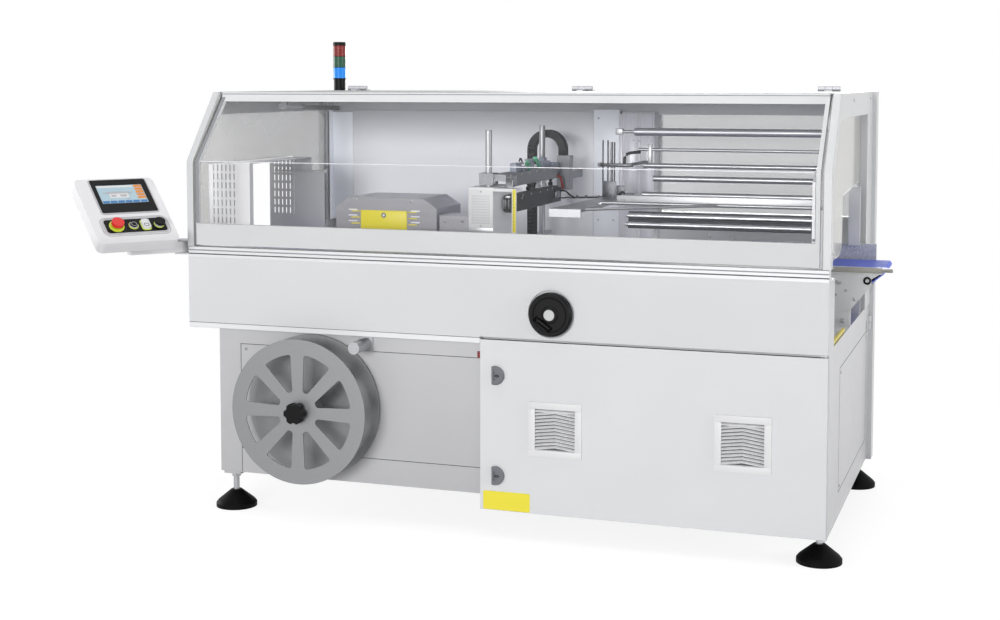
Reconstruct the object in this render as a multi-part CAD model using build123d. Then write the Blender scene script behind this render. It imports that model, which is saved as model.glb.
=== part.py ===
from build123d import *
import math
import os

# Machine body, taken from the photo with the camera worked out first
body_length = 2310.0
body_depth = 1211.0
cabinet_top = 697.0
cabinet_bottom = 90.0
deck_thickness = 6.0
sheet_wall = 3.0
panel_top = 931.0
panel_depth = 143.0
lip_bottom = 674.0
rail_height = 40.0
rail_depth = 44.0
rear_cover_depth = 70.0
rear_cover_overhang = 19.0
roof_height = 1531.0
lid_gap = 6.0

# Hood
side_frame_width = 25.0
side_frame_overhang = 4.0
hood_fold_height = roof_height - 250
hood_slant_depth = 204.0
post_width = 48.0
top_beam_height = 84.0
clear_sheet = 5.0
band_height = 83.0
roof_sheet = 6.0
hinge_pin_radius = 6.0
hinge_width = 86.0
hinge_places = (137.0, body_length / 2 - 10, body_length - 163)

# Lower cabinet, door and vents
door_left = 1136.0
door_thickness = 18.0
door_gap = 7.0
recess_left = 96.0
recess_front = 50.0
recess_bottom = 136.0
vent_side = 188.0
vent_places = (door_left + 265, body_length - 270)
vent_height = 390.0
vent_slats = 12
lock_width = 44.0
lock_height = 65.0
lock_x = 1187.0
lock_heights = (218.0, 566.0)

# Feet
foot_base_radius = 75.0
foot_base_height = 62.0
spindle_radius = 11.0
foot_x = (recess_left + 44, body_length - 30)
foot_y = (84.0, body_depth - 84)

# Handwheel on the front panel
handwheel_radius = 75.0
handwheel_x = door_left + 250
handwheel_z = cabinet_top + 89
handwheel_thickness = 26.0
wheel_shaft_radius = 9.0

# Scrap winder
reel_radius = 258.0
reel_x = 480.0
reel_z = 407.0
reel_front = -91.0
reel_gap = 124.0
reel_sheet = 4.0
spoke_count = 8
reel_shaft_radius = 14.0
bearing_radius = 26.0
running_clearance = 0.08

# Belts through the machine
belt_rise = 207.0
belt_height = cabinet_top + deck_thickness + belt_rise
belt_thickness = 4.0
infeed_belt_front = body_depth - 591
infeed_belt_rear = infeed_belt_front + 280
outfeed_belt_front = infeed_belt_front - 48
outfeed_belt_rear = outfeed_belt_front + 214
nose_radius = 12.0
infeed_left = body_length / 2 + 15
infeed_right = body_length + 114
outfeed_left = -70.0
outfeed_right = body_length / 2 - 170
conveyor_plate = 8.0

# Sealing head and its columns
column_x = body_length / 2 - 95
column_y = (290.0, body_depth - 281)
column_radius = 12.0
column_top = roof_height - 136
jaw_x = column_x + 45
jaw_width = 28.0
jaw_travel = 130.0

# Film rollers across the infeed half
roller_right = body_length - 110
roller_left = infeed_left + 385
roller_wall = 10.0
journal_radius = 6.0

# Control panel on its arm
arm_pivot_x = -34.0
arm_pivot_y = 24.0
arm_angle = 230.0
arm_length = 205.0
arm_side = 40.0
arm_z = panel_top + rail_height - 5
panel_width = 300.0
panel_slope = 326.0
panel_tilt = 40.0
panel_turn = 55.0
panel_thick = 46.0

# Signal tower
tower_x = 34.0
tower_y = body_depth + rear_cover_depth / 2
tower_radius = 28.0
tower_base_height = 53.0
lens_height = 45.5


def block(x0, x1, y0, y1, z0, z1):
    middle = Pos((x0 + x1) / 2, (y0 + y1) / 2, (z0 + z1) / 2)
    return middle * Box(x1 - x0, y1 - y0, z1 - z0)


def rod_x(x0, x1, y, z, radius):
    return Pos((x0 + x1) / 2, y, z) * Rot(0, 90, 0) * Cylinder(radius, x1 - x0)


def rod_y(x, y0, y1, z, radius):
    return Pos(x, (y0 + y1) / 2, z) * Rot(90, 0, 0) * Cylinder(radius, y1 - y0)


def rod_z(x, y, z0, z1, radius):
    return Pos(x, y, (z0 + z1) / 2) * Cylinder(radius, z1 - z0)


def prism_x(points, x0, x1):
    plane = Plane(origin=(x0, 0, 0), x_dir=(0, 1, 0), z_dir=(1, 0, 0))
    return extrude(plane * Polygon(*points, align=None), x1 - x0, dir=(1, 0, 0))


def prism_y(points, y0, y1):
    plane = Plane(origin=(0, y1, 0), x_dir=(1, 0, 0), z_dir=(0, -1, 0))
    return extrude(plane * Polygon(*points, align=None), y1 - y0, dir=(0, -1, 0))


nodes = {}

# Cabinet shell: a folded sheet box, recessed at the left, open behind the door
deck_top = cabinet_top + deck_thickness
right_front = door_thickness + door_gap
recess = block(recess_left, door_left, recess_front, body_depth, recess_bottom, cabinet_top)
recess_hollow = block(
    recess_left + sheet_wall, door_left - sheet_wall, recess_front + sheet_wall,
    body_depth - sheet_wall, recess_bottom + sheet_wall, cabinet_top - sheet_wall)
right_box = block(door_left, body_length, right_front, body_depth, cabinet_bottom, cabinet_top)
right_hollow = block(
    door_left + sheet_wall, body_length - sheet_wall, right_front + sheet_wall,
    body_depth - sheet_wall, cabinet_bottom + sheet_wall, cabinet_top - sheet_wall)
door_opening = block(
    door_left + 28, body_length - 28, 0, right_front + 2 * sheet_wall,
    cabinet_bottom + 28, cabinet_top - 28)
bearing_hole = rod_y(reel_x, recess_front - 1, recess_front + 10, reel_z, bearing_radius)
cabinet = recess - recess_hollow - bearing_hole + (right_box - right_hollow - door_opening)
foot_plates = [
    block(x - 34, x + 34, y - 30, y + 30, recess_bottom - 10, recess_bottom)
    for x in foot_x[:1] for y in foot_y]
deck = block(0, body_length, panel_depth, body_depth, cabinet_top, deck_top)
nodes["cabinet_shell"] = cabinet + foot_plates + deck

# Front panel box with its folded lip over the recess
lip = [(0, cabinet_top), (0, lip_bottom), (3, lip_bottom), (3, cabinet_top + 1)]
panel_box = block(0, body_length, 0, panel_depth, cabinet_top, panel_top)
lip_strip = prism_x(lip, 0, door_left - door_gap)
wheel_pocket = rod_y(handwheel_x, -1, 9, handwheel_z, handwheel_radius + 7)
wheel_bore = rod_y(handwheel_x, 0, 40, handwheel_z, wheel_shaft_radius + running_clearance)
nodes["front_panel"] = panel_box + lip_strip - wheel_pocket - wheel_bore

# Extruded rail with two grooves along its face
rib = rail_height / 3
rail = [
    (0, 0), (0, rib - 2), (4, rib - 2), (4, rib + 2), (0, rib + 2), (0, 2 * rib - 2),
    (4, 2 * rib - 2), (4, 2 * rib + 2), (0, 2 * rib + 2), (0, rail_height),
    (rail_depth, rail_height), (rail_depth, 0)]
rail_top = panel_top + rail_height
nodes["front_rail"] = prism_x([(y, z + panel_top) for y, z in rail], 0, body_length)


# Side frames of the hood: post, slanted member, top beam and rear post in one
def hood_side(x0, x1, front_width, rear_width):
    outside = [
        (2, rail_top), (2, hood_fold_height), (hood_slant_depth, roof_height),
        (body_depth, roof_height), (body_depth, rail_top)]
    inner_top = roof_height - top_beam_height
    inside = [
        (2 + front_width, rail_top - 1), (2 + front_width, hood_fold_height - 22),
        (hood_slant_depth - 10, inner_top), (body_depth - rear_width, inner_top),
        (body_depth - rear_width, rail_top - 1)]
    rear_post = block(x0, x1, body_depth - rear_width, body_depth, deck_top, rail_top)
    return prism_x(outside, x0, x1) - prism_x(inside, x0, x1) + rear_post


left_x0 = -side_frame_overhang
left_x1 = left_x0 + side_frame_width
right_x1 = body_length + side_frame_overhang
right_x0 = right_x1 - side_frame_width
left_rear_post = 100.0
right_rear_post = 171.0
nodes["side_frames"] = Compound([
    hood_side(left_x0, left_x1, post_width, left_rear_post),
    hood_side(right_x0, right_x1, post_width, right_rear_post)])

# Clear side sheets: the right one has the product opening, the left one the exit opening
product_front = infeed_belt_front - 120
product_rear = body_depth - 189
product_top = roof_height - 351
sheet_rear = body_depth - 154
sheet_outline = [
    (10, rail_top + 2), (10, hood_fold_height - 3), (hood_slant_depth + 4, roof_height - 12),
    (sheet_rear, roof_height - 12), (sheet_rear, product_top + 13), (product_rear, product_top + 13),
    (product_front, product_top - 8), (product_front, 1004), (product_front - 60, rail_top + 2)]
sheet_x = right_x0 - clear_sheet
right_sheet = prism_x(sheet_outline, sheet_x, right_x0)
tunnel_front = 300.0
tunnel_rear = outfeed_belt_rear + 22
exit_cut_front = 112.0
tunnel_top = roof_height - 271
left_sheet_rear = body_depth - 83
left_outline = [
    (10, rail_top + 2), (10, hood_fold_height - 3), (hood_slant_depth + 4, roof_height - 12),
    (left_sheet_rear, roof_height - 12), (left_sheet_rear, rail_top + 2), (tunnel_rear + 4, rail_top + 2),
    (tunnel_rear + 4, tunnel_top + 4), (exit_cut_front, tunnel_top + 4),
    (exit_cut_front, rail_top + 2)]
left_sheet = prism_x(left_outline, left_x1, left_x1 + clear_sheet)
nodes["side_sheets"] = Compound([left_sheet, right_sheet])

# Exit tunnel: a folded arch with rows of slots in both legs
arch_wall = 2.5
arch_left = -83.0
arch_right = 107.0
arch = block(arch_left, arch_right, tunnel_front, tunnel_rear, rail_top, tunnel_top)
arch_inside = block(
    arch_left - 1, arch_right + 1, tunnel_front + arch_wall, tunnel_rear - arch_wall,
    rail_top - 1, tunnel_top - arch_wall)
slot_columns = 6
slot_rows = 7
slot_pitch_x = 17.6
slot_pitch_z = 33.4
slot_width = 5.0
slot_height = 23.0
slot_cut = []
for column in range(slot_columns):
    for row in range(slot_rows):
        slot_left = arch_left + 20 + slot_pitch_x * column
        slot_top = tunnel_top - 8 - slot_pitch_z * row
        slot_cut.append(block(
            slot_left, slot_left + slot_width, tunnel_front - 1, tunnel_rear + 1,
            slot_top - slot_height, slot_top))
flange = block(arch_right - 3, arch_right, tunnel_front - 26, tunnel_front + 1, rail_top, tunnel_top)
guard_top = tunnel_top - 60
guard = block(arch_right - 1, arch_right + 59, tunnel_rear - arch_wall, tunnel_rear, rail_top, guard_top)
guard_rod = rod_x(arch_left + 26, arch_right + 68, tunnel_rear - arch_wall - 3, guard_top + 3, 4)
guard_knob = rod_x(arch_right + 62, arch_right + 76, tunnel_rear - arch_wall - 3, guard_top + 3, 9)
legs = [
    block(left_x1 + 9, arch_right, y, y + arch_wall, deck_top, rail_top + 1)
    for y in (tunnel_front, tunnel_rear - arch_wall)]
nodes["exit_tunnel"] = arch - arch_inside - slot_cut + flange + legs + guard + guard_rod + guard_knob

# Rear cover: a deep framed panel with a see-through window at the infeed half
cover_left = -rear_cover_overhang
cover_right = body_length + rear_cover_overhang
cover_front = body_depth
cover = block(
    cover_left, cover_right, cover_front, body_depth + rear_cover_depth,
    cabinet_bottom - 3, roof_height)
window_right = body_length - 48
window_left = body_length / 2 + 311
window_bottom = rail_top + 69
window_top = roof_height - 95
window = block(
    window_left, window_right, body_depth - 1, body_depth + rear_cover_depth + 1,
    window_bottom, window_top)
nodes["rear_cover"] = cover - window
nodes["rear_window"] = block(
    window_left, window_right, body_depth + 20, body_depth + 20 + clear_sheet,
    window_bottom, window_top)
nodes["back_wall"] = Compound([
    block(left_x1 + 98, window_left - 266, body_depth - 16, body_depth, deck_top, window_top + 10),
    block(window_left - 260, window_left - 149, body_depth - 44, body_depth, deck_top, window_top + 10),
    block(window_left - 136, window_left - 2, body_depth - 62, body_depth, deck_top, window_top + 10)])

# Lid: white front band, roof and folded front edge, hinged behind
lid_left = left_x1 + clear_sheet + lid_gap
lid_right = right_x0 - clear_sheet - lid_gap
hinge_y = body_depth - 3
hinge_z = roof_height + hinge_pin_radius + 4
band_top = rail_top + lid_gap + band_height - 6
band = block(lid_left, lid_right, 2, 20, rail_top + lid_gap, band_top)
roof_front = hood_slant_depth + 4
roof_rear = body_depth - 12
roof_profile = [
    (roof_front, roof_height - 37), (roof_front, roof_height), (roof_rear, roof_height),
    (roof_rear, roof_height - 18), (roof_rear - roof_sheet, roof_height - 18),
    (roof_rear - roof_sheet, roof_height - roof_sheet),
    (roof_front + roof_sheet, roof_height - roof_sheet), (roof_front + roof_sheet, roof_height - 37)]
roof = prism_x(roof_profile, lid_left, lid_right)
ribs = [
    prism_x([
        (2, band_top - 1), (2, hood_fold_height), (roof_front, roof_height - 20),
        (roof_front + 6, roof_height - 37), (14, hood_fold_height - 6), (14, band_top - 1)], x, x + 14)
    for x in (lid_left, lid_right - 14)]
nodes["lid_frame"] = band + roof + ribs
pane = [
    (2, band_top), (2, hood_fold_height), (roof_front, roof_height - 37),
    (roof_front + 5, roof_height - 37), (7, hood_fold_height - 2), (7, band_top)]
nodes["lid_pane"] = prism_x(pane, lid_left + 14, lid_right - 14)

# Hinges: knuckles on the rear cover and leaves on the roof around one pin line
fixed_leaves = []
lid_leaves = []
knuckle = hinge_width / 3
for x in hinge_places:
    start = x - hinge_width / 2
    halves = []
    for k in (0, 2):
        tube = rod_x(start + k * knuckle, start + (k + 1) * knuckle - 1, hinge_y, hinge_z, 10)
        foot = block(start + k * knuckle, start + (k + 1) * knuckle - 1, hinge_y + 5,
                     body_depth + 34, roof_height, roof_height + 4)
        halves.append(tube + foot)
    pin = rod_x(start, start + hinge_width - 1, hinge_y, hinge_z, hinge_pin_radius)
    fixed_leaves.append(pin + halves)
    tube = rod_x(start + knuckle, start + 2 * knuckle - 1, hinge_y, hinge_z, 10)
    bore = rod_x(
        start + knuckle - 1, start + 2 * knuckle, hinge_y, hinge_z, hinge_pin_radius + running_clearance)
    leaf = block(
        start + knuckle, start + 2 * knuckle - 1, roof_rear - 34, hinge_y, roof_height, roof_height + 4)
    lid_leaves.append(leaf + tube - bore)

# Door: a folded tray with two vent holes, hung on pivots at its right edge
door_x0 = door_left - door_gap + 2
door_top = cabinet_top - 9
door_bottom = cabinet_bottom + 6
pivot_x = body_length - 8
pivot_y = 7.0
pivot_radius = 3.0
vent_hole_x = 150.0
vent_hole_z = 138.0
tray = block(door_x0, body_length, 0, door_thickness, door_bottom, door_top)
tray_hollow = block(
    door_x0 + sheet_wall, body_length - 16, sheet_wall, door_thickness + 1,
    door_bottom + sheet_wall, door_top - sheet_wall)
vent_holes = [
    block(x - vent_hole_x / 2, x + vent_hole_x / 2, -1, door_thickness,
          vent_height - vent_hole_z / 2, vent_height + vent_hole_z / 2) for x in vent_places]
lock_bores = [
    rod_y(lock_x, -1, door_thickness, z, wheel_shaft_radius + running_clearance)
    for z in lock_heights]
pivot_bores = [
    rod_z(pivot_x, pivot_y, z - 24, z + 24, pivot_radius + running_clearance)
    for z in (door_bottom, door_top)]
nodes["cabinet_door"] = tray - tray_hollow - vent_holes - lock_bores - pivot_bores

# Door pivots: brackets on the cabinet front with pins into the door's edges
pivots = []
for low, high, pin_low, pin_high in (
        (cabinet_bottom, cabinet_bottom + 4, cabinet_bottom + 4, door_bottom + 20),
        (cabinet_top - 5, cabinet_top - 1, door_top - 20, cabinet_top - 5)):
    bracket = block(body_length - 22, body_length - 2, 1, right_front, low, high)
    pin = rod_z(pivot_x, pivot_y, pin_low, pin_high, pivot_radius)
    pivots.append(bracket + pin)

# Vents: a square frame with angled slats
frames = []
for x in vent_places:
    rim = block(x - vent_side / 2, x + vent_side / 2, -7, 0,
                vent_height - vent_side / 2, vent_height + vent_side / 2)
    rim = fillet(rim.edges().filter_by(Axis.Y), 8)
    hole = block(x - vent_hole_x / 2 + 5, x + vent_hole_x / 2 - 5, -8, 1,
                 vent_height - vent_hole_z / 2 + 5, vent_height + vent_hole_z / 2 - 5)
    pitch = (vent_hole_z - 10) / vent_slats
    low = vent_height - vent_hole_z / 2 + 5
    rows = [
        prism_x([(-6, low + pitch * k - 0.5), (-6, low + pitch * k + 2),
                 (-0.5, low + pitch * k + 9.5), (-0.5, low + pitch * k + 7)],
                x - vent_hole_x / 2 + 4, x + vent_hole_x / 2 - 4)
        for k in range(vent_slats)]
    frames.append(rim - hole + rows)
nodes["vent_grilles"] = Compound(frames)

# Quarter-turn locks: a half-round plate on a short spindle
locks = []
for z in lock_heights:
    outline = Plane(origin=(lock_x, 0, z), x_dir=(1, 0, 0), z_dir=(0, -1, 0)) * (
        Circle(lock_height / 2) & Pos(lock_height / 2 - lock_width + 40, 0) * Rectangle(80, 90))
    plate = chamfer(extrude(outline, 12).edges().group_by(Axis.Y)[0], 2)
    slot = block(lock_x - 3, lock_x + 3, -13, -8, z - 16, z + 16)
    spindle = rod_y(lock_x, 0, sheet_wall + 6, z, wheel_shaft_radius)
    locks.append(plate - slot + spindle)
nodes["door_locks"] = Compound(locks)

# Handwheel: a dished disc with a fold-away handle lying in its slanted recess
wheel_back = 4.0
wheel_front = wheel_back - handwheel_thickness
profile = [
    (0, wheel_back), (handwheel_radius - 5, wheel_back), (handwheel_radius, wheel_back - 5),
    (handwheel_radius, wheel_front + 6), (handwheel_radius - 6, wheel_front),
    (handwheel_radius - 14, wheel_front), (handwheel_radius - 20, wheel_front + 4),
    (30, wheel_front + 4), (26, wheel_front), (0, wheel_front)]
wheel_plane = Plane(origin=(handwheel_x, 0, handwheel_z), x_dir=(1, 0, 0), z_dir=(0, 0, 1))
disc = revolve(wheel_plane * Polygon(*profile, align=None), Axis((handwheel_x, 0, handwheel_z), (0, 1, 0)))
handle_length = 46.0
handle_radius = 8.0
handle_turn = 35.0
handle_offset = 40.0
handle_y = wheel_front + 7
seat = Pos(0, handle_y, -handle_offset) * Box(handle_length + 26, 18, 2 * handle_radius + 4)
seat = Pos(handwheel_x, 0, handwheel_z) * Rot(0, handle_turn, 0) * seat
wheel_shaft = rod_y(handwheel_x, wheel_back - 1, 38, handwheel_z, wheel_shaft_radius)
handle_pin = Pos(-handle_length / 2, handle_y, -handle_offset) * Cylinder(2.5, 2 * handle_radius + 6)
handle_pin = Pos(handwheel_x, 0, handwheel_z) * Rot(0, handle_turn, 0) * handle_pin
wheel_cap = rod_y(handwheel_x, wheel_front - 4, wheel_front, handwheel_z, 20)
nodes["handwheel"] = disc - seat + wheel_shaft + handle_pin + wheel_cap
grip = Pos(0, handle_y, -handle_offset) * Rot(0, 90, 0) * Cylinder(handle_radius - 1, handle_length - 2)
eye = Pos(-handle_length / 2, handle_y, -handle_offset) * Cylinder(handle_radius - 1, 2 * handle_radius - 4)
eye_bore = Pos(-handle_length / 2, handle_y, -handle_offset) * Cylinder(
    2.5 + running_clearance, 2 * handle_radius + 6)
knob = Pos(handle_length / 2, handle_y, -handle_offset) * Sphere(handle_radius)
nodes["folding_handle"] = Pos(handwheel_x, 0, handwheel_z) * Rot(0, handle_turn, 0) * (
    grip + eye + knob - eye_bore)

# Scrap winder: two discs on one hub, the front one with spokes
opening_inner = 75.0
opening_outer = 205.0
spoke_inner = 40.0
spoke_outer = 57.0
inner_half = opening_inner * math.tan(math.radians(22.5)) - spoke_inner / 2 / math.cos(math.radians(22.5))
outer_half = opening_outer * math.tan(math.radians(22.5)) - spoke_outer / 2 / math.cos(math.radians(22.5))
window_shape = make_face(
    Line((opening_inner, -inner_half), (opening_outer - 7, -outer_half))
    + ThreePointArc((opening_outer - 7, -outer_half), (opening_outer, 0), (opening_outer - 7, outer_half))
    + Line((opening_outer - 7, outer_half), (opening_inner, inner_half))
    + Line((opening_inner, inner_half), (opening_inner, -inner_half)))
window_shape = fillet(window_shape.vertices(), 9)
reel_plane = Plane(origin=(reel_x, reel_front + reel_sheet, reel_z), x_dir=(1, 0, 0), z_dir=(0, -1, 0))
front_sketch = Circle(reel_radius)
for k in range(spoke_count):
    front_sketch -= Rot(0, 0, 22.5 + 45 * k) * window_shape
front_disc = extrude(reel_plane * front_sketch, reel_sheet)
reel_rear = reel_front + reel_sheet + reel_gap
rear_disc = rod_y(reel_x, reel_rear, reel_rear + reel_sheet, reel_z, reel_radius)
hub = rod_y(reel_x, reel_front + reel_sheet, reel_rear, reel_z, 32)
collar = rod_y(reel_x, reel_front - 9, reel_front, reel_z, 22)
shaft = rod_y(reel_x, reel_front - 12, recess_front + 34, reel_z, reel_shaft_radius)
nodes["winder_reel"] = front_disc + rear_disc + hub + collar + shaft
knob_outline = Circle(38)
for k in range(6):
    knob_outline -= Rot(0, 0, 60 * k + 30) * Pos(44, 0) * Circle(12)
knob_outline = fillet(knob_outline.vertices(), 4)
knob_plane = Plane(origin=(reel_x, reel_front - 12, reel_z), x_dir=(1, 0, 0), z_dir=(0, -1, 0))
nodes["winder_knob"] = chamfer(extrude(knob_plane * knob_outline, 26).edges().group_by(Axis.Y)[0], 3)
bearing = rod_y(reel_x, recess_front, recess_front + 36, reel_z, bearing_radius)
bearing_flange = rod_y(reel_x, recess_front - 6, recess_front, reel_z, 46)
bearing_bore = rod_y(
    reel_x, recess_front - 7, recess_front + 37, reel_z, reel_shaft_radius + running_clearance)
guide_x = reel_x + 203
guide_z = cabinet_top - 57
guide_plate = block(guide_x - 28, guide_x + 28, recess_front - 4, recess_front, guide_z - 28, guide_z + 28)
scrap_pin = rod_y(guide_x, -60, recess_front - 4, guide_z, 21.5)
nodes["winder_bearing"] = Compound([bearing + bearing_flange - bearing_bore, guide_plate + scrap_pin])

# Levelling feet: domed bases on threaded spindles
dome = [
    (0, 0), (foot_base_radius, 0), (foot_base_radius, 14), (foot_base_radius - 8, 24),
    (30, foot_base_height - 8), (20, foot_base_height), (0, foot_base_height)]
base = revolve(Plane.XZ * Polygon(*dome, align=None), Axis.Z)
bases = []
spindles = []
for x in foot_x:
    top = recess_bottom - 10 if x == foot_x[0] else cabinet_bottom
    for y in foot_y:
        bases.append(Pos(x, y, 0) * base)
        spindle = rod_z(x, y, foot_base_height, top, spindle_radius)
        nut = extrude(Pos(x, y, top - 14) * RegularPolygon(18, 6), 12)
        spindles.append(spindle + nut)
nodes["foot_bases"] = Compound(bases)
nodes["foot_spindles"] = Compound(spindles)

# Signal tower
tower_bottom = roof_height
lens_gap = 2.0
lens_bottom = tower_bottom + tower_base_height
core = rod_z(tower_x, tower_y, lens_bottom, lens_bottom + 3 * (lens_height + lens_gap), 16)
tower_base = rod_z(tower_x, tower_y, tower_bottom, lens_bottom - 2, tower_radius - 3)
rim_ring = rod_z(tower_x, tower_y, lens_bottom - 6, lens_bottom, tower_radius)
rings = [
    rod_z(tower_x, tower_y, lens_bottom + (k + 1) * lens_height + k * lens_gap,
          lens_bottom + (k + 1) * (lens_height + lens_gap), tower_radius) for k in range(2)]
cap_bottom = lens_bottom + 3 * lens_height + 2 * lens_gap
cap = rod_z(tower_x, tower_y, cap_bottom, cap_bottom + 16, tower_radius)
cap = fillet(cap.edges().group_by(Axis.Z)[-1], 5)
nodes["tower_body"] = tower_base + rim_ring + core + rings + cap
lenses = []
for k in range(3):
    low = lens_bottom + k * (lens_height + lens_gap)
    tube = rod_z(tower_x, tower_y, low, low + lens_height, tower_radius - 0.5)
    lenses.append(tube - rod_z(tower_x, tower_y, low - 1, low + lens_height + 1, 16))
nodes["tower_lenses"] = Compound(lenses)


# Belts: closed loops around a nose, a snub roller and an end roller
def belt_loop(circles, front, rear):
    outer = make_hull([e for x, z, r in circles for e in (Pos(x, z) * Circle(r)).edges()])
    inner = make_hull([e for x, z, r in circles for e in (Pos(x, z) * Circle(r - belt_thickness)).edges()])
    plane = Plane(origin=(0, rear, 0), x_dir=(1, 0, 0), z_dir=(0, -1, 0))
    return extrude(plane * (outer - inner), rear - front)


def belt_cores(circles, front, rear):
    return [rod_y(x, front - 8, rear + 8, z, r - belt_thickness) for x, z, r in circles]


infeed_circles = [
    (infeed_right - nose_radius, belt_height - nose_radius, nose_radius),
    (infeed_right - 54, belt_height - 44, nose_radius + 2), (infeed_left + 40, belt_height - 40, 40.0)]
outfeed_circles = [
    (outfeed_left + 24, belt_height - 24, 24.0), (outfeed_right - 24, belt_height - 24, 24.0)]
nodes["belts"] = Compound([
    belt_loop(infeed_circles, infeed_belt_front, infeed_belt_rear),
    belt_loop(outfeed_circles, outfeed_belt_front, outfeed_belt_rear)])
nodes["belt_rollers"] = Compound(
    belt_cores(infeed_circles, infeed_belt_front, infeed_belt_rear)
    + belt_cores(outfeed_circles, outfeed_belt_front, outfeed_belt_rear))

# Conveyor side plates with a cut-back tip, standing on brackets
tip_x = infeed_right - 43
plate_outline = [
    (infeed_left + 10, belt_height - 18), (tip_x - 12, belt_height - 18), (tip_x, belt_height - 50),
    (tip_x - 4, belt_height - 64), (body_length, belt_height - 148), (infeed_left + 10, belt_height - 148)]
plates = []
for y0 in (infeed_belt_front - 8 - conveyor_plate, infeed_belt_rear + 8):
    nose_ear = prism_y([
        (tip_x - 40, belt_height - 19), (infeed_right - 14, belt_height - 4),
        (infeed_right - 4, belt_height - 12), (tip_x - 6, belt_height - 40)], y0, y0 + conveyor_plate)
    plates.append(prism_y(plate_outline, y0, y0 + conveyor_plate) + nose_ear)
out_plates = [
    block(outfeed_left + 14, outfeed_right - 14, y0, y0 + conveyor_plate, belt_height - 70, belt_height - 8)
    for y0 in (outfeed_belt_front - 8 - conveyor_plate, outfeed_belt_rear + 8)]
stands = [
    block(x, x + 60, y0, y0 + conveyor_plate, deck_top, belt_height - 148)
    for x in (infeed_left + 40, body_length - 60)
    for y0 in (infeed_belt_front - 8 - conveyor_plate, infeed_belt_rear + 8)]
out_stands = [
    block(x, x + 60, y0, y0 + conveyor_plate, deck_top, belt_height - 70)
    for x in (60, outfeed_right - 120)
    for y0 in (outfeed_belt_front - 8 - conveyor_plate, outfeed_belt_rear + 8)]

# Product guides beside the infeed belt
front_guide = prism_y([
    (infeed_left + 330, belt_height - 17), (infeed_left + 330, belt_height + 6),
    (infeed_right + 14, belt_height + 6),
    (infeed_right + 30, belt_height - 2), (infeed_right + 30, belt_height - 8),
    (infeed_right - 8, belt_height - 3), (infeed_right - 60, belt_height - 17)],
    infeed_belt_front - 8 - 2 * conveyor_plate, infeed_belt_front - 8 - conveyor_plate)
rear_guide = block(
    infeed_right - 524, infeed_right - 58, infeed_belt_rear + 8 + conveyor_plate,
    infeed_belt_rear + 14 + conveyor_plate,
    belt_height - 60, belt_height + 57)
entry_shield = block(
    body_length - 47, body_length - 5, infeed_belt_rear + 8,
    infeed_belt_rear + 14 + conveyor_plate, belt_height + 50, belt_height + 271)
front_frame = plates[0] + stands[0] + stands[2] + front_guide
rear_frame = plates[1] + stands[1] + stands[3] + rear_guide + entry_shield
out_front = out_plates[0] + out_stands[0] + out_stands[2]
out_rear = out_plates[1] + out_stands[1] + out_stands[3]
nodes["conveyor_frames"] = Compound([front_frame, rear_frame, out_front, out_rear])

# Sealing head: columns, fixed lower jaw and sliding upper jaw
housing_front = column_y[0] - 60
housing_rear = column_y[0] + 146
housing_left = column_x - 55
housing_top = belt_height + 283
head_box = block(housing_left, jaw_x - 7, housing_front, housing_rear, deck_top, housing_top)
head_shelf = block(
    jaw_x - 8, jaw_x + 79, housing_front, housing_front + 70, housing_top - 13, housing_top - 3)
scale_post = block(jaw_x + 63, jaw_x + 79, housing_front, housing_front + 6, deck_top, housing_top - 3)
nodes["head_housing"] = head_box + head_shelf + scale_post
nodes["head_columns"] = Compound([
    rod_z(column_x, column_y[0], housing_top, column_top, column_radius),
    rod_z(column_x, column_y[1], deck_top, column_top, column_radius)])
jaw_front = column_y[0] + 55
jaw_rear = column_y[1] - 25
lower_low = housing_top - 97
lower_high = lower_low + 64
lower_bar = block(jaw_x, jaw_x + jaw_width, jaw_front, jaw_rear, lower_low, lower_high)
lower_cap = rod_x(jaw_x, jaw_x + jaw_width, jaw_front, (lower_low + lower_high) / 2, 32)
lower_tie = block(jaw_x - 7, jaw_x + 1, jaw_front + 7, housing_rear, lower_low + 6, lower_high - 6)
lower_clamp = block(
    column_x - 26, jaw_x + jaw_width, jaw_rear - 2, column_y[1] + 18, lower_low, lower_high - 10)
lower_clamp -= rod_z(column_x, column_y[1], lower_low - 1, lower_high, column_radius)
nodes["lower_jaw"] = lower_bar + lower_cap + lower_tie + lower_clamp
clamp_low = housing_top + 7
clamp_high = clamp_low + 42
upper_bar = block(jaw_x, jaw_x + jaw_width, jaw_front + 5, jaw_rear, lower_high + 30, clamp_low + 16)
upper_beam = block(
    column_x + 20, jaw_x + jaw_width, column_y[0] - 20, column_y[1] + 20, clamp_low + 14, clamp_high - 4)
clamps = [
    block(column_x - 27, column_x + 27, y - 27, y + 27, clamp_low, clamp_high)
    - rod_z(column_x, y, clamp_low - 1, clamp_high + 1, column_radius + running_clearance)
    for y in column_y]
nodes["upper_jaw"] = upper_bar + upper_beam + clamps

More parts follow.
